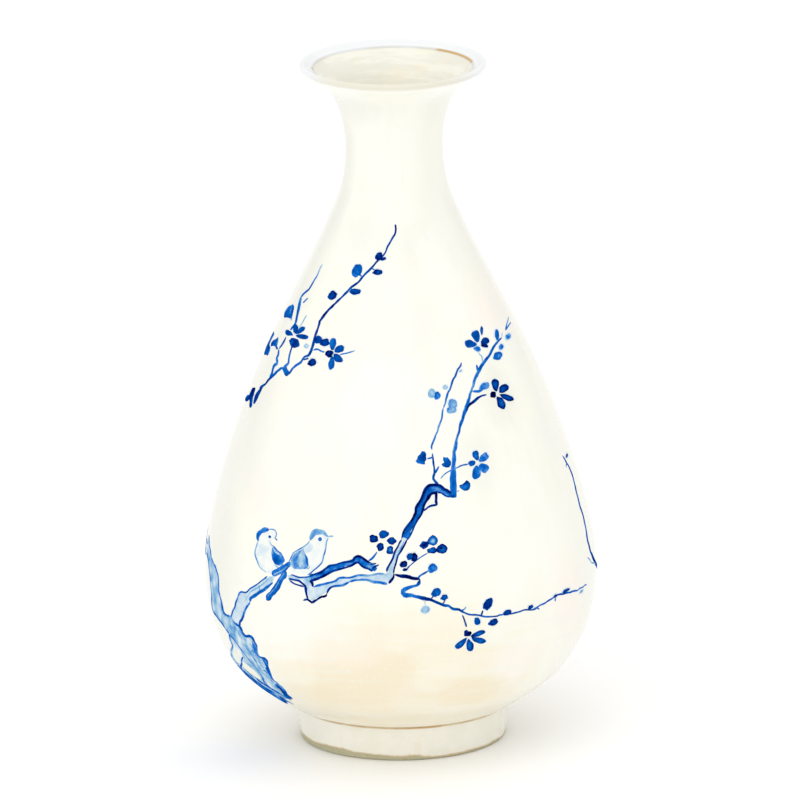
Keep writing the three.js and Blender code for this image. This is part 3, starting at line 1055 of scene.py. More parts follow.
BLOSSOMS = {
    "painted_upper_left_blossom": ((-60, 134.6), [
        ((-71, 134.3), 0.8, 0.66, 0.85),
        ((-62.8, 137.7), 0.74, 0.72, 0.9),
        ((-54.6, 137.9), 0.68, 0.72, 0.8),
        ((-49.4, 135.4), 0.7, 0.78, 0.85),
    ], [
        ((-58.2, 132.6), (1.5, 1.4), 0, 0.72, 0.9),
        ((-58.8, 132.6), (1.0, 0.9), 0, 0.66, 0.66),
    ]),
    "painted_upper_middle_blossom": ((-32.2, 132.6), [
        ((-33.9, 136.8), 1.0, 0.66, 0.6),
        ((-26.6, 134.6), 1.05, 0.64, 0.85),
        ((-26.4, 130.3), 1.0, 0.8, 0.66),
        ((-31.2, 127.6), 0.9, 0.64, 0.7),
    ], [((-33.8, 132.2), (1.2, 1.15), 0, 0.95, 0.85)]),
    "painted_dark_blossom": ((43.8, 118.4), [
        ((45.3, 122.9), 1.05, 1.0, 0.75),
        ((52.2, 119.9), 1.15, 0.98, 0.8),
        ((52.5, 115.3), 0.9, 1.0, 0.72),
        ((45.6, 113.6), 1.1, 0.95, 0.72),
    ], [((42.2, 118.5), (1.0, 1.0), 0, 1.0, 0.95)]),
    "painted_top_right_blossom": ((42.3, 133.1), [
        ((34.6, 134.6), 1.15, 0.6, 0.9),
        ((42.8, 137.6), 1.1, 0.6, 0.95),
        ((50.3, 134), 1.0, 0.85, 0.95),
        ((48.6, 132), 0.5, 1.0, 1.0),
        ((40, 131.5), 1.0, 0.45, 0.62),
    ], [((47.6, 136.8), (0.4, 1.5), -18, 0.62, 0.6)]),
    "painted_bright_blossom": ((28.6, 99.9), [
        ((28.2, 103.7), 0.95, 0.72, 0.55),
        ((33.4, 102.1), 1.15, 0.5, 0.62),
        ((31.7, 96.8), 1.35, 0.5, 0.62),
        ((26.5, 95.3), 1.2, 0.55, 0.6),
    ], [((26.3, 100), (1.05, 1.0), 0, 0.58, 0.68)]),
    "painted_grey_blossom": ((9.6, 76.6), [], [
        ((7.4, 77.2), (1.4, 1.15), 20, 0.7, 1.0),
        ((10.1, 78.3), (1.35, 1.6), 0, 0.8, 0.2),
        ((9.7, 75.4), (1.5, 1.0), 0, 0.92, 0.55),
        ((12.8, 75.6), (1.5, 1.5), 0, 0.98, 0.5),
        ((12.6, 75.9), (0.9, 0.8), 0, 1.0, 1.0),
    ]),
    "painted_navy_blossom": ((-5.3, 78.3), [], [
        ((-8.2, 79.4), (1.3, 1.4), 0, 0.95, 0.7),
        ((-5.1, 80.7), (1.4, 1.35), 0, 0.8, 0.62),
        ((-2.7, 78.7), (1.3, 1.2), 0, 0.9, 0.72),
        ((-3.2, 76), (1.1, 1.3), 0, 0.98, 0.4),
        ((-6.1, 76.9), (1.2, 1.2), 0, 0.9, 0.75),
    ]),
    "painted_low_blossom": ((19.8, 47.2), [
        ((25.2, 48.5), 0.9, 0.88, 0.62),
        ((25.7, 44.7), 0.9, 0.85, 0.62),
        ((20.8, 42.1), 1.1, 0.85, 0.6),
        ((15.8, 43.8), 1.0, 0.88, 0.62),
    ], [
        ((19.6, 48.3), (1.15, 0.95), 0, 0.98, 0.98),
        ((19.1, 49), (0.6, 0.7), 0, 0.8, 0.95),
    ]),
}

# The far side. Its buds are (place, turn) and its blossoms (name, heart, reach, first petal's turn).
BACK_TWIGS = [
    ((1.4, 1.0, 0.8, 0.5), (0.6, 0.7, 0.85), [(-124, 79), (-128, 92), (-137, 104), (-141, 118),
                                              (-148, 132), (-150, 144)]),
    ((0.8, 0.6, 0.4), (0.7, 0.6), [(-137, 104), (-128, 112), (-126, 120)]),
    ((1.2, 0.8, 0.5), (0.85, 0.6), [(-156, 108), (-168, 114), (-180, 126), (-186, 138), (-198, 147)]),
    ((0.7, 0.5), 0.62, [(-168, 114), (-176, 110), (-187, 111)]),
    ((0.8, 0.6), (0.6, 0.75), [(-112, 74), (-110, 84), (-114, 94)]),
    ((0.8, 0.8, 0.6, 0.4), (0.7, 0.85, 0.6), [(94, 51), (108, 47), (124, 50), (140, 45), (156, 49)]),
    ((0.6, 0.4), 0.7, [(124, 50), (129, 55), (131, 61)]),
]
BACK_BUDS = [
    ((-131, 92), 0), ((-144, 111), 20), ((-138, 121), -15), ((-151, 136), 10), ((-184, 131), 0),
    ((-190, 141), 25), ((-176, 124), -20), ((-108, 88), 10), ((-117, 92), 0), ((112, 50), 0),
    ((119, 46), 10), ((147, 49), -20), ((157, 51), 15),
]
BACK_BLOSSOMS = [
    ("painted_back_blossom", (-124, 124), 3.8, 20),
    ("painted_back_high_blossom", (-151, 148), 3.4, 50),
    ("painted_back_side_blossom", (-191, 111), 3.8, 5),
    ("painted_back_low_blossom", (132, 64), 3.8, 30),
    ("painted_back_limb_blossom", (-114, 98), 3.4, 60),
]


# Buds and petals: the margin of the pale halo round them, and their own shares of the sizes, the way
# from the heart to the tip, and the core tone that their rows give.
BUD_HALO = 0.5
BUD_SIZE = 1.08
BUD_CORE = 0.88
PETAL_HALO = 0.4
PETAL_LENGTH = 0.43
PETAL_MIDDLE = 0.56
PETAL_WIDTH = 1.3
PETAL_CORE = 0.84


def draw_bud(paint, bud):
    """A bud: a pale halo, a brighter sepal showing at its lower left, and the dark body over them."""
    place, (wide, high), turn, tone, core = bud
    paint.blob(place, (wide + BUD_HALO, high + BUD_HALO), turn, 0.07, lift=FILL)
    sepal = beside(place, -wide * 0.28 * broad(place[0]), -high * 0.3)
    paint.blob(sepal, (wide, high * 0.9), turn, tone * 0.8, lift=STROKE, wobble=0.3)
    paint.blob(place, (wide * BUD_SIZE, high * BUD_SIZE), turn, tone, core * BUD_CORE, wobble=0.25)


def draw_petal(paint, heart, petal):
    """A petal from near the flower's heart to its tip, narrow at the heart, on its pale halo."""
    tip, half_width, tone, core = petal
    right, up = gap(heart, tip)
    right /= broad(tip[0])
    half_length = math.hypot(right, up) * PETAL_LENGTH
    turn = math.degrees(math.atan2(right, -up))
    middle = tuple(start + (end - start) * PETAL_MIDDLE for start, end in zip(heart, tip))
    halo = (half_width + PETAL_HALO, half_length + PETAL_HALO)
    paint.blob(middle, halo, turn, 0.08, tip=0.4, lift=FILL)
    size = (half_width * PETAL_WIDTH, half_length)
    paint.blob(middle, size, turn, tone, core * PETAL_CORE, tip=0.42, wobble=0.22)


def paint_trees(material):
    for name, twigs in TWIGS.items():
        paint = Paint()
        for widths, tones, route in twigs:
            paint.stroke(route, widths, tones)
        paint.make(name, material)
    for name, buds in BUDS.items():
        paint = Paint()
        for bud in buds:
            draw_bud(paint, bud)
        paint.make(name, material)
    for name, patches in PATCHES.items():
        paint = Paint()
        for tone, edge, outline in patches:
            paint.fill(outline, tone, edge, lift=PETAL, wobble=0.2, grain=0.3)
        paint.make(name, material)
    for name, (heart, petals, dots) in BLOSSOMS.items():
        paint = Paint()
        for petal in petals:
            draw_petal(paint, heart, petal)
        for dot in dots:
            paint.blob(*dot, wobble=0.35)
        paint.make(name, material)


def paint_main_limb(material):
    """The middle limb: a blue fill between near-black outlines, bending at an elbow."""
    paint = Paint()
    paint.fill([(0.3, 80), (2.7, 83.3), (4, 85), (5.2, 88), (7.2, 91.3), (8.5, 93.4), (10.2, 95),
                (13.2, 94.7), (15.9, 93), (17.4, 92.7), (19.1, 92.9), (19.2, 90.6), (16.8, 91),
                (14.3, 92), (12.5, 92.7), (10.9, 92.2), (9, 90.6), (7.6, 88.2), (6, 85.2), (4.7, 83.3),
                (3.4, 81), (2.6, 79.2)], 0.54, 0.62, grain=0.25)
    upper = [(0.2, 79.6), (1.2, 81.3), (2.5, 83.3), (3.8, 85), (5, 87), (5.3, 88.6), (6.5, 90.1),
             (7.6, 92), (8.5, 93.4), (9.6, 94.6), (10.4, 95.1), (11.8, 95), (13.2, 94.6), (14.4, 93.8),
             (15.9, 92.9), (17.4, 92.4)]
    paint.stroke(upper, (0.6, 0.7, 0.8, 0.95, 0.9), (0.9, 1.0, 1.0, 1.0, 0.95), wobble=0.4, lift=PETAL)
    paint.stroke([(2.4, 79), (3.3, 80.6), (4.6, 83.5), (5.8, 85.2), (7.3, 87.6), (7.9, 89), (9, 90.8),
                  (9.9, 91.9), (10.9, 92.5), (11.8, 92.6), (12.5, 92.9)], (0.6, 0.6, 0.75, 1.1),
                 (0.85, 1.0), wobble=0.4, lift=PETAL)
    paint.stroke([(12.5, 92.7), (14.3, 92.1), (15.6, 91.5), (16.8, 91.1), (18.4, 90.8)], 0.5, (0.85, 0.7),
                 lift=PETAL)
    paint.stroke([(12.4, 92.9), (12.1, 91.7), (11.9, 90.1), (12.3, 88.9)], (0.8, 0.7, 0.9), 1.0, lift=PETAL)
    paint.stroke([(12.3, 88.9), (9.9, 88.7), (8.6, 87.9), (7.4, 87.3)], (0.9, 0.6, 0.6),
                 (1.0, 0.85, 0.95), lift=PETAL)
    paint.stroke([(10.6, 94), (12.5, 93.8), (15, 92.3), (17, 91.7)], (0.6, 0.5), (0.46, 0.5))
    paint.stroke([(4.5, 84.8), (6.3, 88), (8.3, 91), (9.5, 93)], (0.5, 0.4), 0.52)
    paint.make("painted_main_limb", material)


def paint_pale_limb(material):
    """The washed-out limb that turns from upright to level between outlines, dark at its ends."""
    paint = Paint()
    paint.fill([(2.3, 79.2), (0.3, 75.8), (-1.7, 71.3), (-2.1, 68), (-3.5, 65.8), (-5.6, 65.7),
                (-10, 66.8), (-15.2, 65.7), (-20.2, 63.9), (-22.4, 62), (-25, 60.2), (-27, 58.8),
                (-28.4, 60.4), (-28.9, 62.8), (-32.6, 64.4), (-35.6, 65), (-35, 66.2), (-30, 66.2),
                (-27.2, 66.8), (-27, 63.6), (-20, 65.7), (-18.5, 67), (-10, 68.2), (-4.3, 69),
                (-3.8, 70.8), (-1.5, 75.6), (0.3, 79.6)], 0.15, 0.2, grain=0.1)
    paint.fill([(-28.6, 62.6), (-31, 64.6), (-33.5, 65.3), (-30, 65.9), (-27.6, 66), (-27.3, 63.6),
                (-26.6, 61)], 0.24, 0.2, lift=STROKE, grain=0.3)
    paint.stroke([(0.2, 79.4), (-1, 76.8), (-1.5, 75.6), (-2.3, 73.5), (-3.8, 70.8), (-4, 69.4)],
                 (0.5, 0.55, 0.6), (0.95, 1.0, 0.85), lift=PETAL)
    paint.stroke([(2.4, 79.2), (0.4, 75.9), (-0.8, 73.7), (-1.8, 71.3), (-2.1, 68.5)], (0.6, 0.5),
                 (0.9, 1.0), lift=PETAL)
    paint.stroke([(1.2, 78.6), (-0.4, 75.4), (-2, 71.5)], 0.35, (0.4, 0.3))
    paint.stroke([(-2.1, 68.5), (-2.2, 67.3), (-3.5, 65.7)], (0.5, 0.9), 1.0, lift=PETAL)
    paint.stroke([(-26.3, 63.2), (-24.8, 63.9), (-20, 65.6), (-18.5, 66.8), (-15.2, 67.4), (-10, 68.2),
                  (-4.7, 68.8)], (0.7, 0.65, 0.75), (0.66, 0.56, 0.42, 0.36))
    paint.stroke([(-4, 65.4), (-5.6, 65.7), (-7.2, 66.4), (-10, 66.8), (-12.2, 66.5), (-15.2, 65.9)],
                 (1.0, 0.7, 0.8), (0.5, 0.5, 0.5))
    paint.stroke([(-15.2, 65.9), (-20.2, 64), (-21.6, 62.9), (-22.4, 61.9)], (0.8, 0.6), (0.5, 0.66, 0.9))
    paint.stroke([(-22.4, 61.9), (-22.9, 61.1), (-23.9, 60.9), (-25, 60), (-26.3, 59), (-26.8, 58.4),
                  (-27.6, 58.8)], (0.6, 0.6, 0.8), 0.98, lift=PETAL)
    paint.stroke([(-30, 58.7), (-28.4, 59), (-26.8, 58.4)], (0.5, 0.8), (0.8, 1.0), lift=PETAL)
    paint.make("painted_pale_limb", material)


def paint_dark_branch(material):
    """The short branch under the right bird: mid blue between near-black outlines, with a cut end."""
    paint = Paint()
    paint.fill([(-28.2, 65), (-25, 65.9), (-20, 69.1), (-15.5, 70.8), (-13, 71.9), (-11, 70.5),
                (-8.4, 69.3), (-7, 70.2), (-8, 72), (-10.3, 72.6), (-12, 74), (-13.2, 74.1), (-15, 72.8),
                (-20, 71), (-22.7, 69.6), (-25, 68), (-28.2, 67.2)], 0.48, 0.56, grain=0.25)
    paint.stroke([(-28, 67), (-25, 67.7), (-22.7, 69.3), (-21.5, 70.4), (-20, 70.7), (-18.5, 71.3),
                  (-15, 72.5), (-14.2, 73.3), (-13, 74), (-12, 73.8), (-10.3, 72.4), (-8.8, 72)],
                 (0.8, 0.7, 0.7, 0.9, 0.6), (0.85, 1.0), lift=PETAL, wobble=0.4)
    paint.stroke([(-27.6, 65.2), (-25, 66), (-22.6, 67.6), (-20, 69.2), (-15.5, 70.9), (-14.3, 71.5),
                  (-13, 72), (-11, 70.6), (-8.6, 69.4)], (0.8, 0.7, 0.6, 0.7), (1.0, 0.95, 1.0, 0.85),
                 lift=PETAL, wobble=0.4)
    paint.stroke([(-8.6, 69.5), (-7.8, 70.5), (-6.3, 71.2)], (0.8, 0.4), (0.7, 0.95), lift=PETAL)
    paint.stroke([(-9, 71.6), (-7.4, 71.7)], 0.4, 0.95, lift=PETAL)
    paint.stroke([(-28, 65.2), (-27.3, 64.4), (-26.8, 63.2)], (1.1, 0.9, 0.6), 1.0, lift=PETAL)
    paint.stroke([(-35.4, 64.4), (-32.6, 64.7), (-30.8, 64.1), (-29.3, 63.2), (-28.8, 61.8),
                  (-28.4, 60.2), (-28, 59)], (0.6, 0.6, 0.8, 0.6), (0.66, 1.0, 1.0), lift=PETAL)
    paint.stroke([(-35, 64), (-33.4, 63.6), (-31.8, 63.2), (-29.6, 62.8)], (0.5, 0.6), (0.66, 0.85, 0.95),
                 lift=PETAL)
    paint.stroke([(-34.6, 66), (-32, 65.9), (-30, 65.8), (-28.4, 66.3), (-27, 66.8)], (0.4, 0.6),
                 (0.6, 0.75, 0.66))
    paint.make("painted_dark_branch", material)


def paint_perch(material):
    """The pale branch that the birds sit on, running down to the trunk."""
    paint = Paint()
    paint.fill([(-41, 62.6), (-44.7, 59.6), (-47, 57.9), (-50, 55.5), (-52.3, 51.7), (-56.5, 45),
                (-61, 46.5), (-58, 51), (-55.5, 55.6), (-52.4, 57), (-50, 58.7), (-46.3, 61.6),
                (-43.2, 63.9), (-40, 65)], 0.14, 0.2, grain=0.1)
    paint.stroke([(-43.2, 63.9), (-46.3, 61.6), (-50, 58.7), (-52.4, 57), (-55.5, 55.8), (-58, 51),
                  (-61, 46.5)], (0.4, 0.5, 0.7), (0.62, 0.62, 0.6))
    paint.stroke([(-41, 62.5), (-42.6, 61.1), (-44.7, 59.5), (-47, 57.8), (-49.7, 55.8), (-50.3, 54.5)],
                 (0.5, 0.9, 1.1, 0.7), (0.5, 0.6, 0.62))
    paint.stroke([(-50.3, 54.5), (-52.3, 51.7), (-56.5, 45)], (0.6, 0.8), (0.6, 0.66))
    paint.stroke([(-42.5, 63), (-46, 60.5), (-51, 56.5), (-55, 51)], 0.5, (0.24, 0.3, 0.2))
    paint.stroke([(-46, 59.3), (-46.6, 60.6)], 0.4, 0.3)
    paint.make("painted_perch_branch", material)


def paint_trunk(material):
    """The old trunk at the left: a pale wash between ragged outlines, hollow at its foot, and barked."""
    limb_right = [(-83.8, 66.9), (-77.5, 63.4), (-75.5, 61.7), (-71.4, 60.2), (-69.3, 58.6), (-68.2, 56.2),
                  (-68.1, 53.3), (-66.8, 50.9), (-65.9, 48.1), (-65.1, 47), (-61.9, 46.9), (-60.1, 46.5)]
    limb_left = [(-83, 61.4), (-79.5, 59.9), (-77.4, 57.5), (-76.2, 54.7), (-75.5, 51.5), (-75.9, 48.4),
                 (-77, 45.8), (-76.6, 44.4), (-72.8, 43.8), (-68.4, 42.7), (-66.5, 41.3), (-64.6, 40.2)]
    limb = Paint()
    limb.fill([*limb_left, *limb_right[::-1]], 0.22, 0.3, grain=0.22)
    limb.stroke(limb_right, (0.6, 0.7, 0.8, 0.9, 0.8), (0.66, 0.56, 0.6, 0.56), wobble=0.7)
    limb.stroke(limb_left, (0.6, 0.7, 0.8, 0.9), (0.66, 0.56, 0.62, 0.66), wobble=0.7)
    limb.make("painted_left_limb", material)
    right = [(-60.1, 46.5), (-58.8, 45.3), (-56.3, 44.8), (-55.2, 43.5), (-54.1, 42.4), (-51.2, 42.6),
             (-50.2, 41.4), (-49.3, 40), (-50.4, 38.6), (-50.1, 36.7), (-48.2, 36.2), (-46.5, 35.8),
             (-46.9, 34.1), (-47.7, 32.3), (-48, 30.6), (-47.9, 28.3), (-46.4, 27.3), (-45.2, 26),
             (-45.3, 24.4), (-45.1, 22.7), (-44.3, 21.7)]
    left = [(-64.6, 40.2), (-65.2, 38.1), (-65.6, 35.7), (-71.5, 31.8), (-76, 28.5), (-79, 25.8)]
    foot = [(-52.5, 19.3), (-57, 16.6), (-63, 15.8), (-69, 17.5), (-74, 20.5), (-79, 24)]
    trunk = Paint()
    trunk.fill([*right, *foot, *left[::-1]], 0.24, 0.34, grain=0.26)
    trunk.stroke(right, (0.7, 1.0, 0.8, 1.0, 0.7, 1.0), (0.56, 0.7, 0.58, 0.72, 0.5, 0.7), wobble=0.9)
    trunk.stroke(left, (0.7, 0.5, 0.6, 0.7), (0.5, 0.42, 0.5, 0.6), wobble=0.6)
    trunk.fill([(-63.5, 37.6), (-61, 36.8), (-59.4, 34.2), (-61, 31.6), (-66, 29.6), (-71, 28.9), (-70, 32),
                (-66, 34.9)], 0.03, 0.14, lift=STROKE, grain=0.1)
    trunk.fill([(-62.5, 32), (-58, 30.6), (-55, 28.4), (-56.6, 26.2), (-61.5, 27), (-65.5, 29.2)], 0.0,
               0.06, lift=STROKE, grain=0.04)
    trunk.stroke([(-64.6, 40.2), (-61.3, 38.4), (-58.6, 35.8), (-56.4, 33.7), (-54.4, 31.2),
                  (-53.4, 28.6), (-54.6, 26), (-53.5, 24.2)], (0.6, 0.6, 0.5, 0.8),
                 (0.56, 0.44, 0.5, 0.62), wobble=0.7, lift=PETAL)
    trunk.stroke([(-60, 34), (-62.6, 31.6), (-66.5, 28.8), (-70, 27)], (0.6, 0.7, 0.8), (0.5, 0.6, 0.66),
                 lift=PETAL)
    trunk.stroke([(-58, 43), (-55, 38.5), (-52.5, 34), (-51.5, 29)], (1.2, 1.4, 1.0), (0.26, 0.34, 0.28),
                 wobble=0.7)
    trunk.fill([(-79, 25.8), (-73, 27.4), (-67, 26.8), (-61, 24.9), (-55.5, 23), (-51.5, 21.5),
                (-52.5, 19.3), (-57, 16.6), (-63, 15.8), (-69, 17.5), (-74, 20.5), (-79, 24)], 0.52, 0.6,
               lift=STROKE, grain=0.4)
    trunk.fill([(-51.5, 41.5), (-49.3, 40), (-50.1, 37), (-51.8, 38.5)], 0.56, lift=PETAL, grain=0.3)
    trunk.fill([(-48.8, 35.9), (-46.5, 35.8), (-47, 33), (-48.3, 33.5)], 0.6, lift=PETAL, grain=0.3)
    trunk.fill([(-48.5, 26.5), (-46.4, 27.2), (-45, 23), (-44.6, 21.3), (-48, 21.6), (-47.5, 24.5)], 0.66,
               lift=PETAL, grain=0.4)
    for number in range(10):
        right, up = 1.3 * number, -0.5 * number
        trunk.stroke([(-60 + right, 27 + up), (-58.4 + right, 25 + up)], (0.5, 0.8, 0.4),
                     0.48 + 0.07 * (number % 4), lift=PETAL, wobble=0.9)
        trunk.stroke([(-75 + right * 1.9, 24 + up), (-72 + right * 1.9, 22.6 + up)], (0.4, 0.9, 0.4),
                     0.5 + 0.12 * (number % 3), lift=PETAL, wobble=0.9)
        trunk.stroke([(-52.8 + 0.5 * number, 40 - 1.7 * number),
                      (-51.6 + 0.5 * number, 38.8 - 1.7 * number)], (0.3, 0.6, 0.3),
                     0.3 + 0.08 * (number % 3), lift=PETAL, wobble=0.9)
    trunk.make("painted_trunk", material)


def paint_left_bird(material):
    paint = Paint()
    paint.fill([(-49.3, 73.7), (-49.5, 71.6), (-49.2, 70), (-48, 68), (-46.9, 66.5), (-45.4, 65.5),
                (-43.9, 64.9), (-41, 65.2), (-39.5, 66.8), (-40, 69), (-41.5, 71), (-42.8, 73.8),
                (-43.6, 74.8), (-42, 76.2), (-41.4, 77.4), (-43, 78.8), (-46.2, 78.8), (-49.2, 77.2)],
               0.05, 0.09, grain=0.04)
    paint.fill([(-48.3, 73), (-46, 73.8), (-43.8, 73), (-44, 71.4), (-46, 69.6), (-48.4, 69.6)], 0.12, 0.05,
               lift=STROKE, grain=0.1)
    paint.stroke([(-48.9, 73.7), (-49.2, 75.3), (-48.3, 76.8), (-46.7, 77.9), (-44.6, 78.5)],
                 (0.7, 1.5, 1.7, 0.9), (0.46, 0.5, 0.54, 0.58), wobble=0.3)
    paint.stroke([(-44.8, 78.7), (-43, 78.7), (-41.8, 78), (-41.4, 77.2), (-42, 76.2)], 0.28, (0.5, 0.4))
    paint.stroke([(-42.2, 76.3), (-41, 75.8)], (0.25, 0.5), (0.3, 0.5))
    paint.stroke([(-49.3, 73.6), (-49.5, 71.6), (-49.2, 70), (-48, 68), (-46.9, 66.5), (-43.9, 64.9)],
                 0.4, (0.44, 0.34))
    paint.stroke([(-43.8, 74.7), (-42.8, 73.8), (-40.8, 73), (-39.3, 72.2), (-37.9, 71), (-37.2, 69.7)],
                 (0.3, 0.45, 0.4), (0.3, 0.5, 0.5))
    paint.fill([(-42.9, 72.4), (-42.7, 70.6), (-41.7, 68.8), (-40.3, 68), (-38, 68.3), (-37.2, 69.8),
                (-38.6, 71.9), (-41, 73), (-42.4, 73.6)], 0.52, 0.46, lift=STROKE, wobble=0.15,
               grain=0.25)
    paint.stroke([(-42.2, 72.9), (-40.8, 72.3), (-39.5, 71.5)], 0.5, 0.24, lift=PETAL)
    paint.stroke([(-40.6, 67.8), (-39.4, 67.6)], 0.6, 0.3)
    paint.stroke([(-36.5, 66.8), (-37.7, 64.4), (-39.7, 61.1), (-41.8, 58), (-43.2, 56.5)], (1.6, 1.7, 1.6),
                 (0.5, 0.56, 0.58), edge=0.1, wobble=0.3)
    paint.stroke([(-36.9, 66.6), (-38.1, 64.3), (-40.1, 61), (-42.4, 57.7)], 0.3, 0.44, lift=PETAL)
    paint.blob((-44.1, 76.2), (0.95, 0.9), 0, 0.04, lift=STROKE)
    paint.blob((-44.1, 76.2), (0.5, 0.5), 0, 0.62, lift=PETAL)
    paint.make("painted_left_bird", material)


def paint_right_bird(material):
    paint = Paint()
    paint.fill([(-29, 77.4), (-29, 79.1), (-28.2, 80.5), (-26.8, 81.3), (-25, 81.1), (-23.6, 80.2),
                (-22.8, 78.8), (-23.4, 77.5), (-23.8, 73.2), (-24.4, 71.2), (-25.6, 69.5), (-27.2, 68),
                (-30, 66.8), (-34.5, 67), (-35.5, 69.5), (-35.2, 71.3), (-34.3, 73), (-32.5, 74.2),
                (-30.6, 75.4)], 0.05, 0.08, grain=0.04)
    paint.fill([(-28.9, 77), (-27.6, 76.6), (-27.4, 74.8), (-29, 73.4), (-31.5, 73.2), (-33.6, 72.8),
                (-32.3, 74.1), (-30.6, 75.3)], 0.16, 0.08, lift=STROKE, grain=0.1)
    paint.stroke([(-28.8, 77.3), (-28.6, 78.6), (-27.7, 79.8), (-26.6, 80.4), (-25.1, 80.4),
                  (-23.9, 79.8), (-22.9, 79.2)], (0.7, 1.4, 1.9, 1.9, 1.2, 0.6),
                 (0.52, 0.46, 0.4, 0.38, 0.4), wobble=0.3)
    paint.stroke([(-22.9, 78.9), (-23.4, 77.5), (-23.6, 75.5), (-23.8, 73.2), (-24.4, 71.2), (-25.6, 69.5),
                  (-27.2, 68), (-28.8, 67)], (0.35, 0.45, 0.45), (0.4, 0.42, 0.56))
    paint.stroke([(-28.9, 77.2), (-29.4, 76.4), (-30.6, 75.4), (-32.5, 74.2), (-34.3, 73), (-35.2, 71.3),
                  (-35.7, 69.8)], (0.35, 0.45, 0.35), (0.42, 0.5, 0.44))
    paint.fill([(-30.8, 74.9), (-33.4, 73.4), (-35, 71.4), (-35.2, 69), (-33.5, 67.9), (-30, 68.2),
                (-28.4, 69.4), (-29, 71.6), (-29.9, 73.6)], 0.24, 0.34, lift=STROKE, wobble=0.2,
               grain=0.3)
    for back, low in ((0.2, 3.0), (1.2, 2.6), (2.2, 2.3), (3.2, 1.6)):
        paint.stroke([(-30.6 - back, 74.3 - back * 0.55), (-31.8 - back * 0.6, 73.2 - back * 0.6),
                      (-32.6 - back * 0.5, 74 - low - back * 0.5)], 0.35, (0.44, 0.56), lift=PETAL)
    for right in (0, 1.4, 2.8, 4.2):
        paint.stroke([(-33.8 + right, 69.4), (-32.8 + right, 68.7), (-32.2 + right, 69.6)], 0.3, 0.42,
                     lift=PETAL)
    paint.stroke([(-30.2, 73.4), (-29.5, 71.6), (-29, 69.8)], (0.5, 0.8, 0.6), (0.44, 0.58, 0.56),
                 lift=PETAL)
    paint.stroke([(-34.9, 69.8), (-36.9, 68), (-39.5, 66.2), (-41.3, 64.9)], (1.4, 2.0, 2.0),
                 (0.44, 0.5, 0.46), edge=0.1, wobble=0.3)
    paint.stroke([(-36, 68.5), (-38.2, 66.7), (-40.6, 65)], 0.35, 0.36, lift=PETAL)
    paint.stroke([(-22.9, 79.3), (-22, 79.4), (-21.3, 79.6)], (0.7, 0.4), (0.36, 0.28))
    paint.blob((-25.5, 78.1), (1.2, 1.15), 0, 0.04, lift=STROKE)
    paint.blob((-25.5, 78.1), (0.62, 0.75), 0, 0.72, 0.5, lift=PETAL)
    paint.make("painted_right_bird", material)


def paint_back(material):
    """The side away from the front: the left limb carries on round, with twigs, buds and blossoms."""
    limb = Paint()
    route = [(-84.5, 62.5), (-91, 63), (-99, 67), (-112, 73), (-124, 78), (-134, 88), (-146, 96),
             (-156, 108)]
    widths = (3.6, 3.0, 2.6, 2.2, 1.4)
    limb.stroke(route, widths, (0.2, 0.16, 0.24, 0.4), lift=FILL)
    for side in (-0.5, 0.5):
        edge = []
        for index, place in enumerate(route):
            right, up = gap(route[max(index - 1, 0)], route[min(index + 1, len(route) - 1)])
            reach = side * spread(widths, index / (len(route) - 1)) / math.hypot(right, up)
            edge.append(beside(place, -up * reach, right * reach))
        limb.stroke(edge, (0.8, 0.6, 0.7), (0.6, 0.7, 0.85), wobble=0.8)
    limb.make("painted_back_limb", material)
    twigs = Paint()
    for widths, tones, route in BACK_TWIGS:
        twigs.stroke(route, widths, tones)
    for place, turn in BACK_BUDS:
        draw_bud(twigs, (place, (1.0, 1.3), turn, 0.85, 0.75))
    twigs.make("painted_back_twigs", material)
    for name, heart, reach, start in BACK_BLOSSOMS:
        blossom = Paint()
        for number in range(5):
            angle = math.radians(start + number * 72)
            tip = beside(heart, reach * math.cos(angle), reach * math.sin(angle))
            draw_petal(blossom, heart, (tip, 1.05, 0.7, 0.85 if number % 2 else 0.58))
        blossom.blob(heart, (0.6, 0.6), 0, 0.9, wobble=0.35)
        blossom.make(name, material)


def paint_bottle():
    cobalt = surface("cobalt_under_glaze", cobalt_colour, gloss=0.0)
    for paint_part in (paint_trunk, paint_perch, paint_pale_limb, paint_dark_branch, paint_main_limb,
                       paint_trees, paint_left_bird, paint_right_bird, paint_back):
        paint_part(cobalt)


# ---- Studio ---------------------------------------------------------------------------------

# The camera's lens and sensor in millimetres, the width of its view in metres, its rise and roll in
# degrees, and the place that it looks at in millimetres.
LENS = 1000.0
SENSOR = 36.0
VIEW_WIDTH = 0.25
CAMERA_RISE = 15.5
CAMERA_ROLL = -0.9
AIM = (0.6, 0, 108.1)

# The strength of the white world.
WORLD_LIGHT = 0.84

# The floor runs this far out each way, in metres, to a low wall that backs it in a level view.
FLOOR_REACH = 5.5
FLOOR_WALL = 0.15


def make_camera():
    """A long lens, a little above the bottle, at the reference view's slight roll."""
    camera = bpy.data.objects.new("camera", bpy.data.cameras.new("camera"))
    camera.data.lens = LENS
    camera.data.sensor_width = SENSOR
    rise = math.radians(CAMERA_RISE)
    back = Vector((0, -math.cos(rise), math.sin(rise)))
    turn = (-back).to_track_quat("-Z", "Y") @ Quaternion((0, 0, 1), math.radians(CAMERA_ROLL))
    camera.rotation_mode = "QUATERNION"
    camera.rotation_quaternion = turn
    camera.location = Vector(AIM) * MM + back * (VIEW_WIDTH * LENS / SENSOR)
    bpy.context.scene.collection.objects.link(camera)
    bpy.context.scene.camera = camera


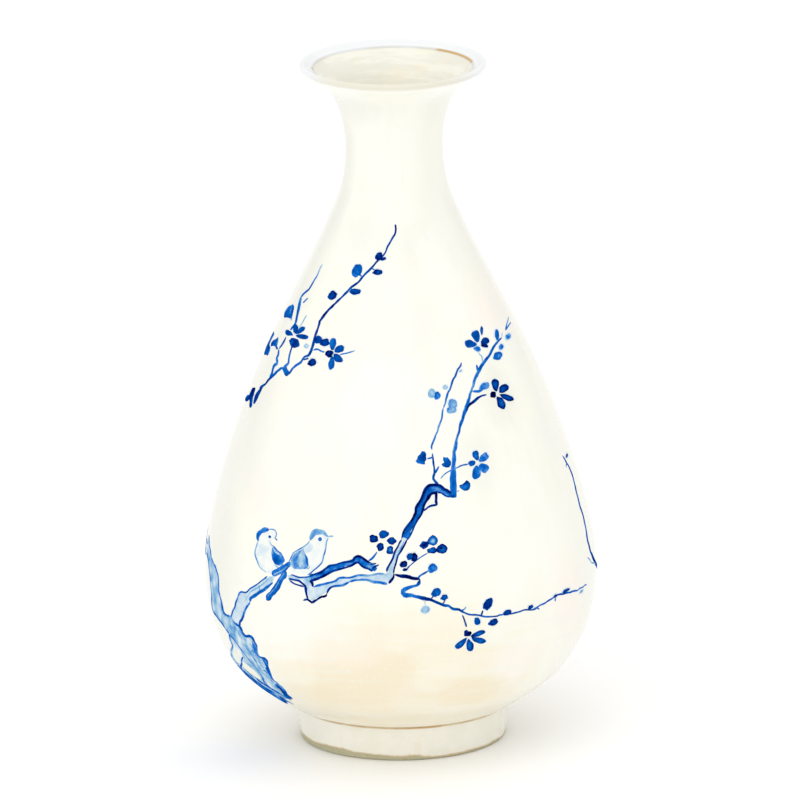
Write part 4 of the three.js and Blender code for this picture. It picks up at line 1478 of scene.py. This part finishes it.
def make_floor():
    """A wide white floor, with a low wall all round its edge."""
    square = [(-FLOOR_REACH, -FLOOR_REACH), (FLOOR_REACH, -FLOOR_REACH),
              (FLOOR_REACH, FLOOR_REACH), (-FLOOR_REACH, FLOOR_REACH)]
    corners = [(across, along, height) for height in (0, FLOOR_WALL) for across, along in square]
    walls = [(side, side + 4, (side + 1) % 4 + 4, (side + 1) % 4) for side in range(4)]
    mesh = bpy.data.meshes.new("floor")
    mesh.from_pydata(corners, [], [(0, 1, 2, 3), *walls])
    floor = bpy.data.objects.new("floor", mesh)
    material = bpy.data.materials.new("pale_floor")
    material.use_nodes = True
    shader = material.node_tree.nodes["Principled BSDF"]
    shader.inputs["Base Color"].default_value = tint(255, 255, 255)
    shader.inputs["Roughness"].default_value = 0.9
    shader.inputs["Specular IOR Level"].default_value = 0.1
    mesh.materials.append(material)
    bpy.context.scene.collection.objects.link(floor)


def soft_sun(name, degrees, rise, strength, size):
    """Even light from one side: degrees round from the front towards +X, and degrees above the floor."""
    light = bpy.data.lights.new(name, "SUN")
    light.energy = strength
    light.angle = math.radians(size)
    lamp = bpy.data.objects.new(name, light)
    turn, up = math.radians(degrees), math.radians(rise)
    towards = Vector((math.sin(turn) * math.cos(up), -math.cos(turn) * math.cos(up), math.sin(up)))
    lamp.rotation_mode = "QUATERNION"
    lamp.rotation_quaternion = towards.to_track_quat("Z", "Y")
    bpy.context.scene.collection.objects.link(lamp)


def make_light():
    world = bpy.data.worlds.new("white_room")
    world.use_nodes = True
    background = world.node_tree.nodes["Background"]
    background.inputs["Color"].default_value = (1.0, 1.0, 1.0, 1.0)
    background.inputs["Strength"].default_value = WORLD_LIGHT
    bpy.context.scene.world = world
    soft_sun("key_light", -22, 48, 0.57, 60)
    soft_sun("top_light", 150, 70, 0.4, 80)
    bpy.context.scene.view_settings.view_transform = "Standard"


GLAZE_TINT_AND_SHADE = glaze_tint_and_shade_group()
make_camera()
make_light()
make_floor()
make_bottle()
paint_bottle()
